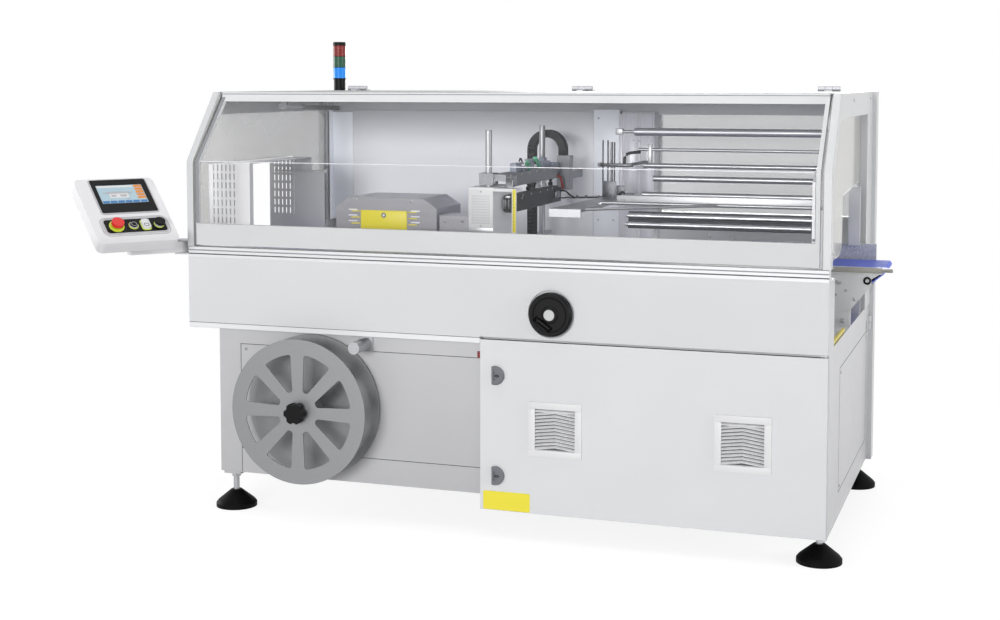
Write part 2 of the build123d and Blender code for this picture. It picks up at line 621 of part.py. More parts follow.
# Cable chain arch and the boxes around the head
chain_front = column_y[1] + 32
chain_rear = chain_front + 40
chain_left = column_x - 73
chain_thick = 30.0
chain_outer = 80.0
chain_turn = column_top - 98
chain_bottom = belt_height + 44
chain_end = chain_turn - 21
chain_centre = chain_left + chain_outer
arch_plane = Plane(origin=(chain_centre, chain_rear, chain_turn), x_dir=(1, 0, 0), z_dir=(0, -1, 0))
half_ring = (Circle(chain_outer) - Circle(chain_outer - chain_thick)) & Pos(0, 50) * Rectangle(200, 100)
chain = extrude(arch_plane * half_ring, chain_rear - chain_front)
chain += block(chain_left, chain_left + chain_thick, chain_front, chain_rear, chain_bottom, chain_turn)
chain += block(
    chain_centre + chain_outer - chain_thick, chain_centre + chain_outer, chain_front,
    chain_rear, chain_end, chain_turn)
nodes["cable_chain"] = chain
box_left = chain_centre + 46
junction = block(box_left, box_left + 52, chain_front - 5, chain_rear + 5, chain_end - 137, chain_end)
box_arm = block(
    box_left + 12, box_left + 37, chain_rear + 4, body_depth - 16, chain_end - 96, chain_end - 66)
chain_shelf = block(
    chain_left, chain_left + chain_thick, chain_front, body_depth - 16, chain_bottom - 12, chain_bottom)
nodes["chain_mounts"] = Compound([junction + box_arm, chain_shelf])

# Sloped stainless housing with slots beside the outfeed, and a small box next to it
cover_right = housing_left - 150
cover_left = cover_right - 402
cover_depth = 250.0
cover_front = outfeed_belt_front - 22 - cover_depth
cover_top = belt_height + 232
cover_slope = 56.0
stainless = prism_y([
    (cover_left, deck_top), (cover_left, cover_top - 36), (cover_left + cover_slope, cover_top),
    (cover_right - cover_slope, cover_top), (cover_right, cover_top - 36),
    (cover_right, deck_top)], cover_front, cover_front + cover_depth)
slots = [
    block(x, x + 36, cover_front - 1, cover_front + 3, cover_top - 49 - 21 * k, cover_top - 44 - 21 * k)
    for x in (cover_left + 50, cover_right - 102) for k in range(3)]
small_box = block(
    cover_right + 11, housing_left - 26, cover_front, cover_front + 120, deck_top, cover_top - 59)
nodes["stainless_housing"] = Compound([stainless - slots, small_box])

# Film rollers on cantilevered journals from one wall plate
wall_x0 = roller_right + 6
wall_front = 340.0
wall_leg_rear = infeed_belt_front - 30
wall_rear = infeed_belt_rear - 40
wall_top = roof_height - 121
nodes["roller_wall"] = prism_x([
    (wall_front, deck_top), (wall_leg_rear, deck_top), (wall_leg_rear, wall_top - 196),
    (wall_rear, wall_top - 80), (wall_rear, wall_top), (wall_rear - 100, wall_top),
    (wall_front, wall_top - 180)], wall_x0, wall_x0 + roller_wall)
turning = {
    "top_roller": (roller_left - 89, roller_left - 155, wall_rear - 40, wall_top - 32, 15),
    "drive_roller": (roller_left - 10, roller_left - 20, wall_front + 90, wall_top - 320, 17),
    "press_roller": (roller_left, roller_left - 10, wall_front + 40, wall_top - 346, 14)}
still_rods = (
    (roller_left - 43, wall_rear - 160, wall_top - 94, 6),
    (roller_left, wall_rear - 260, wall_top - 148, 9),
    (roller_left + 47, wall_leg_rear - 30, wall_top - 193, 11),
    (roller_left + 17, wall_leg_rear - 70, wall_top - 249, 10))
film_rods = []
for name, (left, journal_left, y, z, radius) in turning.items():
    film_rods.append(rod_x(journal_left, wall_x0, y, z, journal_radius))
    tube = rod_x(left, roller_right, y, z, radius)
    nodes[name] = tube - rod_x(left - 1, roller_right + 1, y, z, journal_radius + running_clearance)
for left, y, z, radius in still_rods:
    film_rods.append(rod_x(left, wall_x0, y, z, radius))
film_rods.append(block(
    roller_left - 35, wall_x0, wall_front + 122, wall_front + 134, wall_top - 286, wall_top - 250))

# Film former: a sloped beam across the belt on an arm from the rear post, with two long rods
former_left = jaw_x + 223
former_right = former_left + 114
former_high = belt_height + 220
former_lip = 28.0
former_drop = 8.0
former_front = 158.0
former_rear = column_y[1]
former_sheet = 10.0
former_beam = prism_x([
    (former_front, former_high), (former_rear, former_high - former_drop),
    (former_rear, former_high - former_drop - former_sheet),
    (former_front + former_sheet, former_high - former_sheet),
    (former_front + former_sheet, former_high - former_lip),
    (former_front, former_high - former_lip)], former_left, former_right)
corner_cut = extrude(
    Pos(0, 0, former_high - 50) * make_face(Polyline(
        (former_right + 1, former_rear - 180), (former_right + 1, former_rear + 1),
        (former_left + 60, former_rear + 1), close=True)), 60)
former_arm = block(
    former_left + 20, former_left + 52, former_rear - 20, body_depth - 62, former_high - 26,
    former_high - 10)
guide_rod_z = former_high + 2
guide_rod_y = wall_front + 116
guide_rod = rod_x(former_right - 10, wall_x0, guide_rod_y, guide_rod_z, 6)
guide_foot = block(
    former_right - 16, former_right - 4, guide_rod_y - 8, guide_rod_y + 8, former_high - 16, guide_rod_z)
slant_start = Vector(former_right - 8, former_front + 60, former_high - 5)
slant_end = Vector(former_right + 420, guide_rod_y, guide_rod_z)
slant_path = slant_end - slant_start
slant_rod = extrude(Plane(origin=slant_start, z_dir=slant_path) * Circle(5), slant_path.length)
film_rods.append(former_beam - corner_cut + former_arm + guide_rod + guide_foot + slant_rod)
nodes["film_rods"] = Compound(film_rods)

# Control panel arm: bracket on the rail's end, swivelling bar and post
low_plate = block(
    arm_pivot_x - 24, 0, 2, arm_pivot_y + 20, arm_z - arm_side / 2 - 7, arm_z - arm_side / 2 - 1)
high_plate = block(
    arm_pivot_x - 24, left_x0, 2, arm_pivot_y + 22, arm_z + arm_side / 2 + 1, arm_z + arm_side / 2 + 7)
pivot_pin = rod_z(arm_pivot_x, arm_pivot_y, arm_z - arm_side / 2 - 4, arm_z + arm_side / 2 + 4, 9)
arm_bracket = low_plate + high_plate + pivot_pin
arm_place = Pos(arm_pivot_x, arm_pivot_y, arm_z) * Rot(0, 0, arm_angle)
bar = arm_place * Pos(arm_length / 2, 0, 0) * Box(arm_length, arm_side, arm_side)
bar += rod_z(arm_pivot_x, arm_pivot_y, arm_z - arm_side / 2, arm_z + arm_side / 2, arm_side / 2)
bar -= rod_z(arm_pivot_x, arm_pivot_y, arm_z - 30, arm_z + 30, 9 + running_clearance)
end_x = arm_pivot_x + (arm_length - 20) * math.cos(math.radians(arm_angle))
end_y = arm_pivot_y + (arm_length - 20) * math.sin(math.radians(arm_angle))

# Panel: the housing leans back and its face turns to the front right
across = Vector(math.cos(math.radians(panel_turn)), math.sin(math.radians(panel_turn)), 0)
outward = Vector(math.sin(math.radians(panel_turn)), -math.cos(math.radians(panel_turn)), 0)
upward = Vector(0, 0, 1)
tilt_cos = math.cos(math.radians(panel_tilt))
tilt_sin = math.sin(math.radians(panel_tilt))
slope_down = outward * tilt_cos - upward * tilt_sin
face_normal = outward * tilt_sin + upward * tilt_cos
face_corner = Vector(arm_pivot_x - 309, arm_pivot_y - 237, arm_z + 250)
face_centre = face_corner + across * (panel_width / 2) + slope_down * (panel_slope / 2)
face_plane = Plane(origin=face_centre, x_dir=across, z_dir=face_normal)


def on_face(u, v, shape):
    return face_plane * Pos(u - panel_width / 2, panel_slope / 2 - v, 0) * shape


shell = extrude(face_plane * RectangleRounded(panel_width, panel_slope, 22), -panel_thick)
post_top = (face_centre - face_normal * panel_thick / 2).Z + 20
post = rod_z(end_x, end_y, arm_z, post_top, 17)
nodes["panel_arm"] = bar + post - shell
nodes["panel_housing"] = shell
bezel_centre = (160.0, 94.0)
bezel_size = (210.0, 168.0)
display_centre = (158.0, 84.0)
display_size = (176.0, 96.0)
bezel = on_face(*bezel_centre, extrude(RectangleRounded(*bezel_size, 6), 5))
bezel -= on_face(*display_centre, Box(*display_size, 12))
nodes["screen_glass"] = on_face(*display_centre, extrude(Rectangle(*display_size), 3))
button_plate = on_face(156, 246, extrude(RectangleRounded(226, 66, 12), 3))
nodes["panel_plates"] = Compound([bezel, button_plate])
stop_hole = 84.0
button_row = 247.0
collar_part = on_face(stop_hole, button_row, Pos(0, 0, 3) * extrude(Circle(27), 4))
neck = on_face(stop_hole, button_row, Pos(0, 0, 6) * extrude(Circle(12), 12))
head = on_face(stop_hole, button_row, Pos(0, 0, 16) * extrude(Circle(22), 12))
nodes["stop_button"] = head + neck + collar_part
buttons = [
    on_face(147, button_row, Pos(0, 0, 3) * extrude(Circle(13), 9)),
    on_face(192, button_row, Pos(0, 0, 3) * extrude(RectangleRounded(28, 44, 8), 9)),
    on_face(
        243, button_row, Pos(0, 0, 3) * (extrude(Circle(12), 12) + Pos(0, 0, 11) * extrude(Circle(19), 8)))]
nodes["panel_buttons"] = Compound(buttons)

# Gas springs between the rear posts and lugs under the roof
spring_base_y = body_depth - 21
spring_base_z = roof_height - 76
spring_lug_y = spring_base_y - 540
spring_lug_z = roof_height - 61
spring_length = math.hypot(spring_base_y - spring_lug_y, spring_lug_z - spring_base_z)
spring_tilt = math.degrees(math.atan2(spring_lug_z - spring_base_z, spring_base_y - spring_lug_y))
cylinder_length = 320.0
spring_rod_radius = 4.0
spring_pins = []
lugs = []
sleeves = []
spring_rods = []
for spring_x, wall_x, inward in ((lid_left + 18, left_x1, 1), (lid_right - 18, right_x0, -1)):
    low, high = sorted((wall_x, spring_x + 12 * inward))
    spring_pins.append(rod_x(low, high, spring_base_y, spring_base_z, 5))
    place = Pos(spring_x, spring_base_y, spring_base_z) * Rot(-spring_tilt, 0, 0)
    sleeve = place * Pos(0, -16 - cylinder_length / 2, 0) * Rot(90, 0, 0) * Cylinder(10, cylinder_length)
    end_eye = place * Pos(0, -8, 0) * Box(12, 26, 18)
    sleeve += end_eye
    sleeve -= rod_x(spring_x - 20, spring_x + 20, spring_base_y, spring_base_z, 5 + running_clearance)
    rod_room = place * Pos(0, -16 - cylinder_length / 2 - 30, 0) * Rot(90, 0, 0) * Cylinder(
        spring_rod_radius + running_clearance, cylinder_length)
    sleeves.append(sleeve - rod_room)
    rod_long = spring_length - 120
    rod = place * Pos(0, -spring_length + rod_long / 2, 0) * Rot(90, 0, 0) * Cylinder(
        spring_rod_radius, rod_long)
    ball = rod_x(spring_x - 7, spring_x + 7, spring_lug_y, spring_lug_z, 9)
    spring_rods.append(rod + ball)
    lug_x = spring_x + 13 * inward
    lugs.append(block(lug_x - 4, lug_x + 4, spring_lug_y - 14, spring_lug_y + 14,
                      spring_lug_z - 12, roof_height - roof_sheet))
nodes["spring_cylinders"] = Compound(sleeves)
nodes["spring_rods"] = Compound(spring_rods)
nodes["lid_hardware"] = Compound(lid_leaves + lugs)
nodes["hinge_hardware"] = Compound(fixed_leaves + pivots + spring_pins + [arm_bracket])

# Everything moves together so that the origin lies under the middle of the whole machine
boxes = [shape.bounding_box() for shape in nodes.values()]
middle_x = (min(b.min.X for b in boxes) + max(b.max.X for b in boxes)) / 2
middle_y = (min(b.min.Y for b in boxes) + max(b.max.Y for b in boxes)) / 2
floor_z = min(b.min.Z for b in boxes)
os.makedirs("parts", exist_ok=True)
for name, shape in nodes.items():
    export_step(Pos(-middle_x, -middle_y, -floor_z) * shape, "parts/" + name + ".step")
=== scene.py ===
import math

import bmesh
import bpy
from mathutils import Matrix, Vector


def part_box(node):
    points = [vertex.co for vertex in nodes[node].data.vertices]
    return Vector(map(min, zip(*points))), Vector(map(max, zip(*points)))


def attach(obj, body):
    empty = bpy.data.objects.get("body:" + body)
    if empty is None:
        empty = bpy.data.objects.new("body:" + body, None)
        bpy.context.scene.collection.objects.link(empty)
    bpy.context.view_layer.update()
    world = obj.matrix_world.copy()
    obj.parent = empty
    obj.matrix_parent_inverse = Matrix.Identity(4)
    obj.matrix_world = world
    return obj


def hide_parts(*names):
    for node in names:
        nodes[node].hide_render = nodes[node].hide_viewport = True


# Continuous sealing machine: finishes, small fittings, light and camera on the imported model
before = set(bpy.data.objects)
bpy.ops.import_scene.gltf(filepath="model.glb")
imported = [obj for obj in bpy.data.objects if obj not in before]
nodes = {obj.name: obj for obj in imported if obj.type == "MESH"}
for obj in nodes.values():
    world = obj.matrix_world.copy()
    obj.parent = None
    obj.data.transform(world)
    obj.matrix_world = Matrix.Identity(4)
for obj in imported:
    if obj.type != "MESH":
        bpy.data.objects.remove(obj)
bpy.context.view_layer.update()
print("model loaded:", len(nodes), "nodes")

# Places below are in millimetres from the front panel's left front edge, heights from the floor
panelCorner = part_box("front_panel")[0]


def at(x, y, z):
    return Vector((panelCorner[0] + x / 1000, panelCorner[1] + y / 1000, z / 1000))


def screenColour(red, green, blue):
    # a colour as a picture editor shows it, turned into the linear values the shaders want
    linear = []
    for value in (red, green, blue):
        share = value / 255
        linear.append(share / 12.92 if share <= 0.04045 else ((share + 0.055) / 1.055) ** 2.4)
    return (*linear, 1.0)


# Shading helpers

noiseSpan = (0.3, 0.7)  # nearly all of a noise lies between these


def addNode(tree, kind, feeds=None, **settings):
    # one shader node; feeds gives its sockets a value or the output of another node
    node = tree.nodes.new("ShaderNode" + kind)
    for setting, value in settings.items():
        setattr(node, setting, value)
    for socket, feed in (feeds or {}).items():
        if isinstance(feed, bpy.types.NodeSocket):
            tree.links.new(feed, node.inputs[socket])
        else:
            node.inputs[socket].default_value = feed
    return node


def objectPlace(tree):
    # the place on the machine in metres, the same for every piece
    return addNode(tree, "TexCoord").outputs["Object"]


def splitPlace(tree):
    return addNode(tree, "SeparateXYZ", {"Vector": objectPlace(tree)}).outputs


def startMaterial(name):
    material = bpy.data.materials.new(name)
    material.use_nodes = True
    tree = material.node_tree
    return material, tree, tree.nodes["Principled BSDF"]


def addNoise(tree, scale, stretch=(1, 1, 1), detail=3.0):
    mapping = addNode(tree, "Mapping", {"Vector": objectPlace(tree), "Scale": stretch})
    noise = addNode(tree, "TexNoise", {"Vector": mapping.outputs["Vector"], "Scale": scale, "Detail": detail})
    return noise.outputs["Fac"]


def addRamp(tree, factor, low, high):
    ramp = addNode(tree, "ValToRGB", {"Fac": factor})
    for stop, position, colour in zip(ramp.color_ramp.elements, noiseSpan, (low, high)):
        stop.position = position
        stop.color = colour
    return ramp.outputs["Color"]


def addRange(tree, factor, low, high, span=noiseSpan, kind="LINEAR"):
    feeds = {"Value": factor, "From Min": span[0], "From Max": span[1], "To Min": low, "To Max": high}
    return addNode(tree, "MapRange", feeds, interpolation_type=kind).outputs["Result"]


def addRelief(tree, shader, height, strength, depth, edge=0.0):
    bump = addNode(tree, "Bump", {"Height": height, "Strength": strength, "Distance": depth})
    if edge:  # soft edges, as folded and coated sheet has
        bevel = addNode(tree, "Bevel", {"Radius": edge}, samples=4)
        tree.links.new(bevel.outputs["Normal"], bump.inputs["Normal"])
    tree.links.new(bump.outputs["Normal"], shader.inputs["Normal"])


def addGrade(tree, tone, axis, start, end, first, last):
    # the tone times first at start and times last at end, along one axis of the machine
    share = addRange(tree, splitPlace(tree)[axis], first, last, (start, end), "SMOOTHSTEP")
    return addNode(tree, "VectorMath", {0: tone, "Scale": share}, operation="SCALE").outputs["Vector"]


def addTone(tree, shader, look, factor, drift):
    # the colour grows a little darker where factor is low, and takes the painted light and shade of the finish
    colour = screenColour(*look["colour"])
    darker = tuple(channel * (1 - look.get("drift", drift)) for channel in colour[:3]) + (1.0,)
    tone = addRamp(tree, factor, darker, colour)
    for grade in look.get("grade", ()):
        tone = addGrade(tree, tone, *grade)
    tree.links.new(tone, shader.inputs["Base Color"])


def coatedMaterial(name, look):
    # powder coat or moulded plastic: broad tone drift, fine peel, uneven gloss
    material, tree, shader = startMaterial(name)
    addTone(tree, shader, look, addNoise(tree, look.get("driftScale", 3.0)), 0.03)
    rough = look["roughness"]
    tree.links.new(addRange(tree, addNoise(tree, 25.0), rough - 0.04, rough + 0.05), shader.inputs["Roughness"])
    shader.inputs["Specular IOR Level"].default_value = look.get("specular", 0.5)
    shader.inputs["Coat Weight"].default_value = look.get("coat", 0.0)
    shader.inputs["Coat Roughness"].default_value = 0.12
    peel = addNoise(tree, 700.0, detail=2.0)
    addRelief(tree, shader, peel, look.get("peel", 0.08), 0.0004, look.get("edge", 0.0015))
    return material


def metalMaterial(name, look):
    # brushed or drawn metal: streaks run along the axis that has the smallest stretch
    material, tree, shader = startMaterial(name)
    streaks = addNoise(tree, look.get("streakScale", 60.0), look.get("stretch", (1, 1, 1)), 4.0)
    addTone(tree, shader, look, streaks, 0.18)
    shader.inputs["Metallic"].default_value = look.get("metallic", 1.0)
    rough = look["roughness"]
    tree.links.new(addRange(tree, streaks, rough - 0.06, rough + 0.08), shader.inputs["Roughness"])
    addRelief(tree, shader, streaks, look.get("relief", 0.12), 0.0003, 0.0012)
    return material


def clearMaterial(name, look):
    # clear sheet: lets the view through, a little haze, more cover at a slant
    material, tree, shader = startMaterial(name)
    smudge = addNoise(tree, 2.5)
    addTone(tree, shader, look, smudge, 0.03)
    tree.links.new(addRange(tree, smudge, 0.04, 0.10), shader.inputs["Roughness"])
    slant = addNode(tree, "LayerWeight", {"Blend": 0.25})
    cover = addRange(tree, slant.outputs["Fresnel"], look["haze"], look["slantHaze"], (0, 1))
    tree.links.new(addGrade(tree, cover, "X", -0.6, 0.6, look.get("leftShare", 1.0), 1.0), shader.inputs["Alpha"])
    shader.inputs["Specular IOR Level"].default_value = 0.6
    addRelief(tree, shader, addNoise(tree, 4.0, detail=1.0), 0.03, 0.002)
    return material


# Finishes of the machine: colours as a picture editor shows them


def mixed(colour, roughness, **more):
    return {"colour": colour, "roughness": roughness, **more}


finishes = {
    # painted shade: front panel and rear cover darker towards the right
    "bodyWhite": mixed((223, 224, 226), 0.42, coat=0.15, grade=(("X", -0.9, 0.5, 0.935, 0.88),)),
    # painted shade: a darker copy of the body white for the cabinet side and recess, darker still at the left and
    # towards the floor, where the panel above shades them
    "cabinetWhite": mixed((210, 210, 212), 0.42, coat=0.15,
                          grade=(("X", 0.1, 0.4, 0.90, 1.0), ("Z", 0.1, 0.75, 0.84, 1.0))),
    "hoodWhite": mixed((214, 215, 216), 0.40, coat=0.15),
    # painted shadow of the roof: the inner walls darker towards the top
    "innerWhite": mixed((240, 240, 244), 0.45, grade=(("Z", 1.28, 1.49, 1.0, 0.58),)),
    "doorWhite": mixed((216, 217, 219), 0.42, coat=0.15),
    "ventWhite": mixed((224, 224, 225), 0.5, peel=0.03),
    # painted shade: the control panel darker at its lower edge
    "panelGrey": mixed((230, 229, 231), 0.42, peel=0.05, grade=(("Z", 0.985, 1.045, 0.82, 1.0),)),
    "blackPlastic": mixed((12, 12, 14), 0.42, drift=0.3, edge=0.001, specular=0.15),
    "footBlack": mixed((8, 8, 9), 0.55, drift=0.3, specular=0.08),
    "lockGrey": mixed((105, 108, 114), 0.45, drift=0.12),
    "chainBlack": mixed((26, 26, 28), 0.6, drift=0.3, specular=0.15),
    "redPlastic": mixed((226, 36, 24), 0.4, drift=0.12, coat=0.1),
    "yellowPlate": mixed((236, 222, 52), 0.42, drift=0.04, peel=0.02),
    "boxGrey": mixed((176, 178, 184), 0.5),
    "filterGrey": mixed((110, 111, 114), 0.8, peel=0.3),
    "seamGrey": mixed((70, 70, 74), 0.7),
    "mutedBlue": mixed((74, 82, 120), 0.4),
    "dotGrey": mixed((176, 177, 180), 0.6),
    "panelRim": mixed((190, 190, 194), 0.35),
    "pageBlue": mixed((176, 202, 214), 0.25),
    "tileOrange": mixed((224, 142, 62), 0.25),
    "keyBlue": mixed((62, 122, 180), 0.25),
    "collarYellow": mixed((206, 224, 60), 0.35, drift=0.06),
    "edgeWhite": mixed((244, 244, 250), 0.2),
    # painted shade on the inner leg of the tunnel towards the back, and painted light on its top face
    "tunnelWhite": mixed((232, 232, 234), 0.42,
                         grade=(("Y", 0.20, 0.335, 1.0, 0.5), ("Z", 1.2575, 1.2595, 1.0, 1.3))),
    # painted light and shade: the lid frame darker low down and a little lighter high up, and the roof top darker
    "lidWhite": mixed((226, 227, 228), 0.50, specular=0.15,
                      grade=(("Z", 1.1, 1.45, 0.89, 1.03), ("Z", 1.529, 1.5305, 1.0, 0.60))),
    # painted light: a brighter white for plates on the rear posts, which lie in shade
    "postLitWhite": mixed((246, 249, 255), 0.4),
    # painted shade for the left rib of the lid
    "ribShadeGrey": mixed((146, 147, 152), 0.45),
    "headWhite": mixed((222, 222, 225), 0.45),
    "coverGrey": mixed((160, 163, 168), 0.4),
    "foldWhite": mixed((234, 235, 237), 0.4),
    "wineRed": mixed((128, 34, 40), 0.5),
    # painted light: louvre slats whiter than the vent frame, standing in for their lit faces
    "slatLitWhite": mixed((252, 252, 253), 0.5, peel=0.03),
    # painted shade seen through the slots of the tunnel's outer leg
    "slotShadeGrey": mixed((190, 190, 189), 0.6),
    "lineDark": mixed((70, 70, 74), 0.6),
    "lineGrey": mixed((150, 151, 156), 0.5),
    "hoseBlack": mixed((26, 26, 28), 0.42, drift=0.3),
    "jawBlack": mixed((52, 53, 54), 0.5, drift=0.25),
    "ribBlack": mixed((52, 52, 55), 0.5, drift=0.2, specular=0.25),
    "valveGrey": mixed((168, 175, 190), 0.45),
    "hoseGreen": mixed((118, 224, 176), 0.35, drift=0.1),
    # painted shade: the film bar darker towards the right
    "barGrey": mixed((206, 207, 214), 0.5, grade=(("X", 0.4, 0.95, 1.0, 0.66),)),
    "capBlue": mixed((48, 92, 190), 0.35),
    "cableRed": mixed((186, 52, 48), 0.4),
    "speckSlate": mixed((206, 210, 226), 0.6, drift=0.62, driftScale=330.0),
    "capGrey": mixed((196, 197, 196), 0.4),
    "yellowBar": mixed((226, 206, 70), 0.4, drift=0.1),
}
metals = {
    "railAluminium": mixed((220, 221, 223), 0.5, metallic=0.25, stretch=(0.02, 1, 1), drift=0.05, relief=0.05),
    "reelSatin": mixed((142, 143, 145), 0.42, streakScale=260.0, drift=0.10, relief=0.10, metallic=0.85),
    # painted light and shade: the housing top brighter, its front face darker
    "housingSteel": mixed((176, 175, 181), 0.36, metallic=0.45, stretch=(0.03, 0.03, 1),
                          grade=(("Y", -0.1658, -0.163, 0.72, 1.75),), streakScale=220.0, drift=0.12),
    "rollerSteel": mixed((186, 187, 192), 0.42, metallic=0.75, stretch=(0.02, 1, 1), streakScale=300.0, drift=0.08),
    "rodSteel": mixed((172, 173, 176), 0.38, metallic=0.8, stretch=(0.05, 1, 1), streakScale=240.0, drift=0.1),
    "plateSteel": mixed((196, 197, 201), 0.5, metallic=0.5, stretch=(1, 1, 0.04), streakScale=160.0, drift=0.1),
    "zincScrew": mixed((186, 187, 190), 0.4, metallic=0.7, streakScale=500.0),
    "darkSteel": mixed((92, 93, 97), 0.4, streakScale=200.0),
    "feedSteel": mixed((140, 141, 145), 0.3, stretch=(0.02, 1, 1), streakScale=300.0, drift=0.1),
    "guideSteel": mixed((168, 167, 160), 0.5, metallic=0.4, drift=0.55, streakScale=420.0, relief=0.5),
    "beamSteel": mixed((140, 141, 145), 0.42, metallic=0.6, stretch=(1, 0.02, 1), streakScale=180.0, drift=0.3),
}
clears = {
    "frontPane": {"colour": (226, 228, 232), "haze": 0.015, "slantHaze": 0.14},
    "sideSheet": {"colour": (226, 225, 222), "haze": 0.42, "slantHaze": 0.85, "leftShare": 0.78},
    "rearPane": {"colour": (206, 207, 209), "haze": 0.38, "slantHaze": 0.5},
}

shop = {}
for kind, looks in ((coatedMaterial, finishes), (metalMaterial, metals), (clearMaterial, clears)):
    for name, look in looks.items():
        shop[name] = kind(name, look)


def beltMaterial(name):
    # blue belt: fine fabric print pressed into the smooth top
    material, tree, shader = startMaterial(name)
    look = {"colour": (132, 147, 246), "weave": 900.0}
    addTone(tree, shader, look, addNoise(tree, 8.0), 0.14)
    tree.links.new(addRange(tree, addNoise(tree, 60.0), 0.62, 0.75), shader.inputs["Roughness"])
    shader.inputs["Specular IOR Level"].default_value = 0.2
    weave = addNode(tree, "TexChecker", {"Vector": objectPlace(tree), "Scale": look["weave"]})
    addRelief(tree, shader, weave.outputs["Fac"], 0.2, 0.0004, 0.001)
    return material


def addBands(tree, factor, colours):
    # three plain bands of one height, the first colour lowest
    ramp = addNode(tree, "ValToRGB", {"Fac": factor})
    ramp.color_ramp.interpolation = "CONSTANT"
    stops = ramp.color_ramp.elements
    stops[1].position = 0.33
    stops.new(0.66)
    for stop, colour in zip(stops, colours):
        stop.color = screenColour(*colour)
    return ramp.outputs["Color"]


def lensMaterial(name):
    # signal lenses: blue below, green, red on top; the blue one is lit
    look = {"blue": (14, 96, 190), "green": (34, 86, 62), "red": (132, 34, 30), "lit": (10, 150, 226), "glow": 0.45}
    material, tree, shader = startMaterial(name)
    low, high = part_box("tower_lenses")
    height = addRange(tree, splitPlace(tree)["Z"], 0, 1, (low[2], high[2]))
    bands = addBands(tree, height, (look["blue"], look["green"], look["red"]))
    tree.links.new(bands, shader.inputs["Base Color"])
    tree.links.new(addBands(tree, height, (look["lit"], (0, 0, 0), (0, 0, 0))), shader.inputs["Emission Color"])
    shader.inputs["Emission Strength"].default_value = look["glow"]
    shader.inputs["Roughness"].default_value = 0.15
    ribs = addNode(tree, "TexWave", {"Vector": objectPlace(tree), "Scale": 60.0}, bands_direction="Z")
    addRelief(tree, shader, ribs.outputs["Fac"], 0.5, 0.0008)
    return material


shop["beltBlue"] = beltMaterial("beltBlue")
shop["signalLens"] = lensMaterial("signalLens")

wornBy = {  # finish: the nodes that have it
    "bodyWhite": "front_panel rear_cover",
    "cabinetWhite": "cabinet_shell",
    "doorWhite": "cabinet_door",
    "hoodWhite": "side_frames conveyor_frames",
    "lidWhite": "lid_frame",
    "tunnelWhite": "exit_tunnel",
    "innerWhite": "back_wall roller_wall",
    "ventWhite": "vent_grilles",
    "panelGrey": "panel_housing panel_arm",
    "railAluminium": "front_rail",
    "reelSatin": "winder_reel",
    "housingSteel": "stainless_housing",
    "rollerSteel": "top_roller belt_rollers",
    "feedSteel": "drive_roller press_roller",
    "rodSteel": "film_rods head_columns spring_rods foot_spindles winder_bearing",
    "jawBlack": "lower_jaw",
    "beamSteel": "upper_jaw",
    "headWhite": "head_housing",
    "coverGrey": "chain_mounts",
    "plateSteel": "lid_hardware hinge_hardware",
    "blackPlastic": "handwheel folding_handle winder_knob tower_body "
                    "panel_plates panel_buttons spring_cylinders screen_glass",
    "footBlack": "foot_bases",
    "lockGrey": "door_locks",
    "chainBlack": "cable_chain",
    "redPlastic": "stop_button",
    "beltBlue": "belts",
    "signalLens": "tower_lenses",
    "frontPane": "lid_pane",
    "sideSheet": "side_sheets",
    "rearPane": "rear_window",
}
for finish, names in wornBy.items():
    for name in names.split():
        node = nodes[name]
        if not node.data.materials:
            node.data.materials.append(shop[finish])
        for slot in node.material_slots:
            slot.material = shop[finish]
print("finishes on", len(nodes), "nodes")

# Mesh helpers for the small fittings

toFront, toRight, toBack, upward = (0, -1, 0), (1, 0, 0), (0, 1, 0), (0, 0, 1)


def boxInto(build, low, high, edge=0.6, finish=0):
    # a block between two corners given with at(), its edges broken by edge millimetres
    made = bmesh.ops.create_cube(build, size=1.0)["verts"]
    size = Vector(high) - Vector(low)
    middle = (Vector(high) + Vector(low)) / 2
    for vert in made:
        vert.co = Vector(vert.co[k] * size[k] for k in range(3)) + middle
    edges = {e for vert in made for e in vert.link_edges}
    faces = {f for vert in made for f in vert.link_faces}
    if edge:
        width = min(edge / 1000, min(abs(s) for s in size) * 0.4)
        made = bmesh.ops.bevel(build, geom=list(edges), offset=width, segments=2, affect="EDGES", profile=0.5)
        faces |= set(made["faces"])
    for face in faces:
        if face.is_valid:
            face.material_index = finish


def frameOf(direction):
    # three axes with the last one along direction
    along = Vector(direction).normalized()
    helper = Vector(upward) if abs(along.z) < 0.9 else Vector(toRight)
    side = helper.cross(along).normalized()
    return side, along.cross(side), along


def latheInto(build, profile, centre, direction, steps=24, finish=0, turn=0.0):
    # profile: (radius, height) pairs in millimetres along direction; a radius of 0 closes the end
    side, up, along = frameOf(direction)
    rings = []
    for radius, height in profile:
        foot = Vector(centre) + along * height / 1000
        if radius == 0:
            rings.append([build.verts.new(foot)])
            continue
        ring = []
        for k in range(steps):
            angle = turn + 2 * math.pi * k / steps
            offset = side * math.cos(angle) + up * math.sin(angle)
            ring.append(build.verts.new(foot + offset * radius / 1000))
        rings.append(ring)
    for lower, upper in zip(rings, rings[1:]):
        for k in range(steps):
            a, b = lower[k % len(lower)], lower[(k + 1) % len(lower)]
            c, d = upper[(k + 1) % len(upper)], upper[k % len(upper)]
            corners = list(dict.fromkeys((a, b, c, d)))
            if len(corners) > 2:
                build.faces.new(corners).material_index = finish


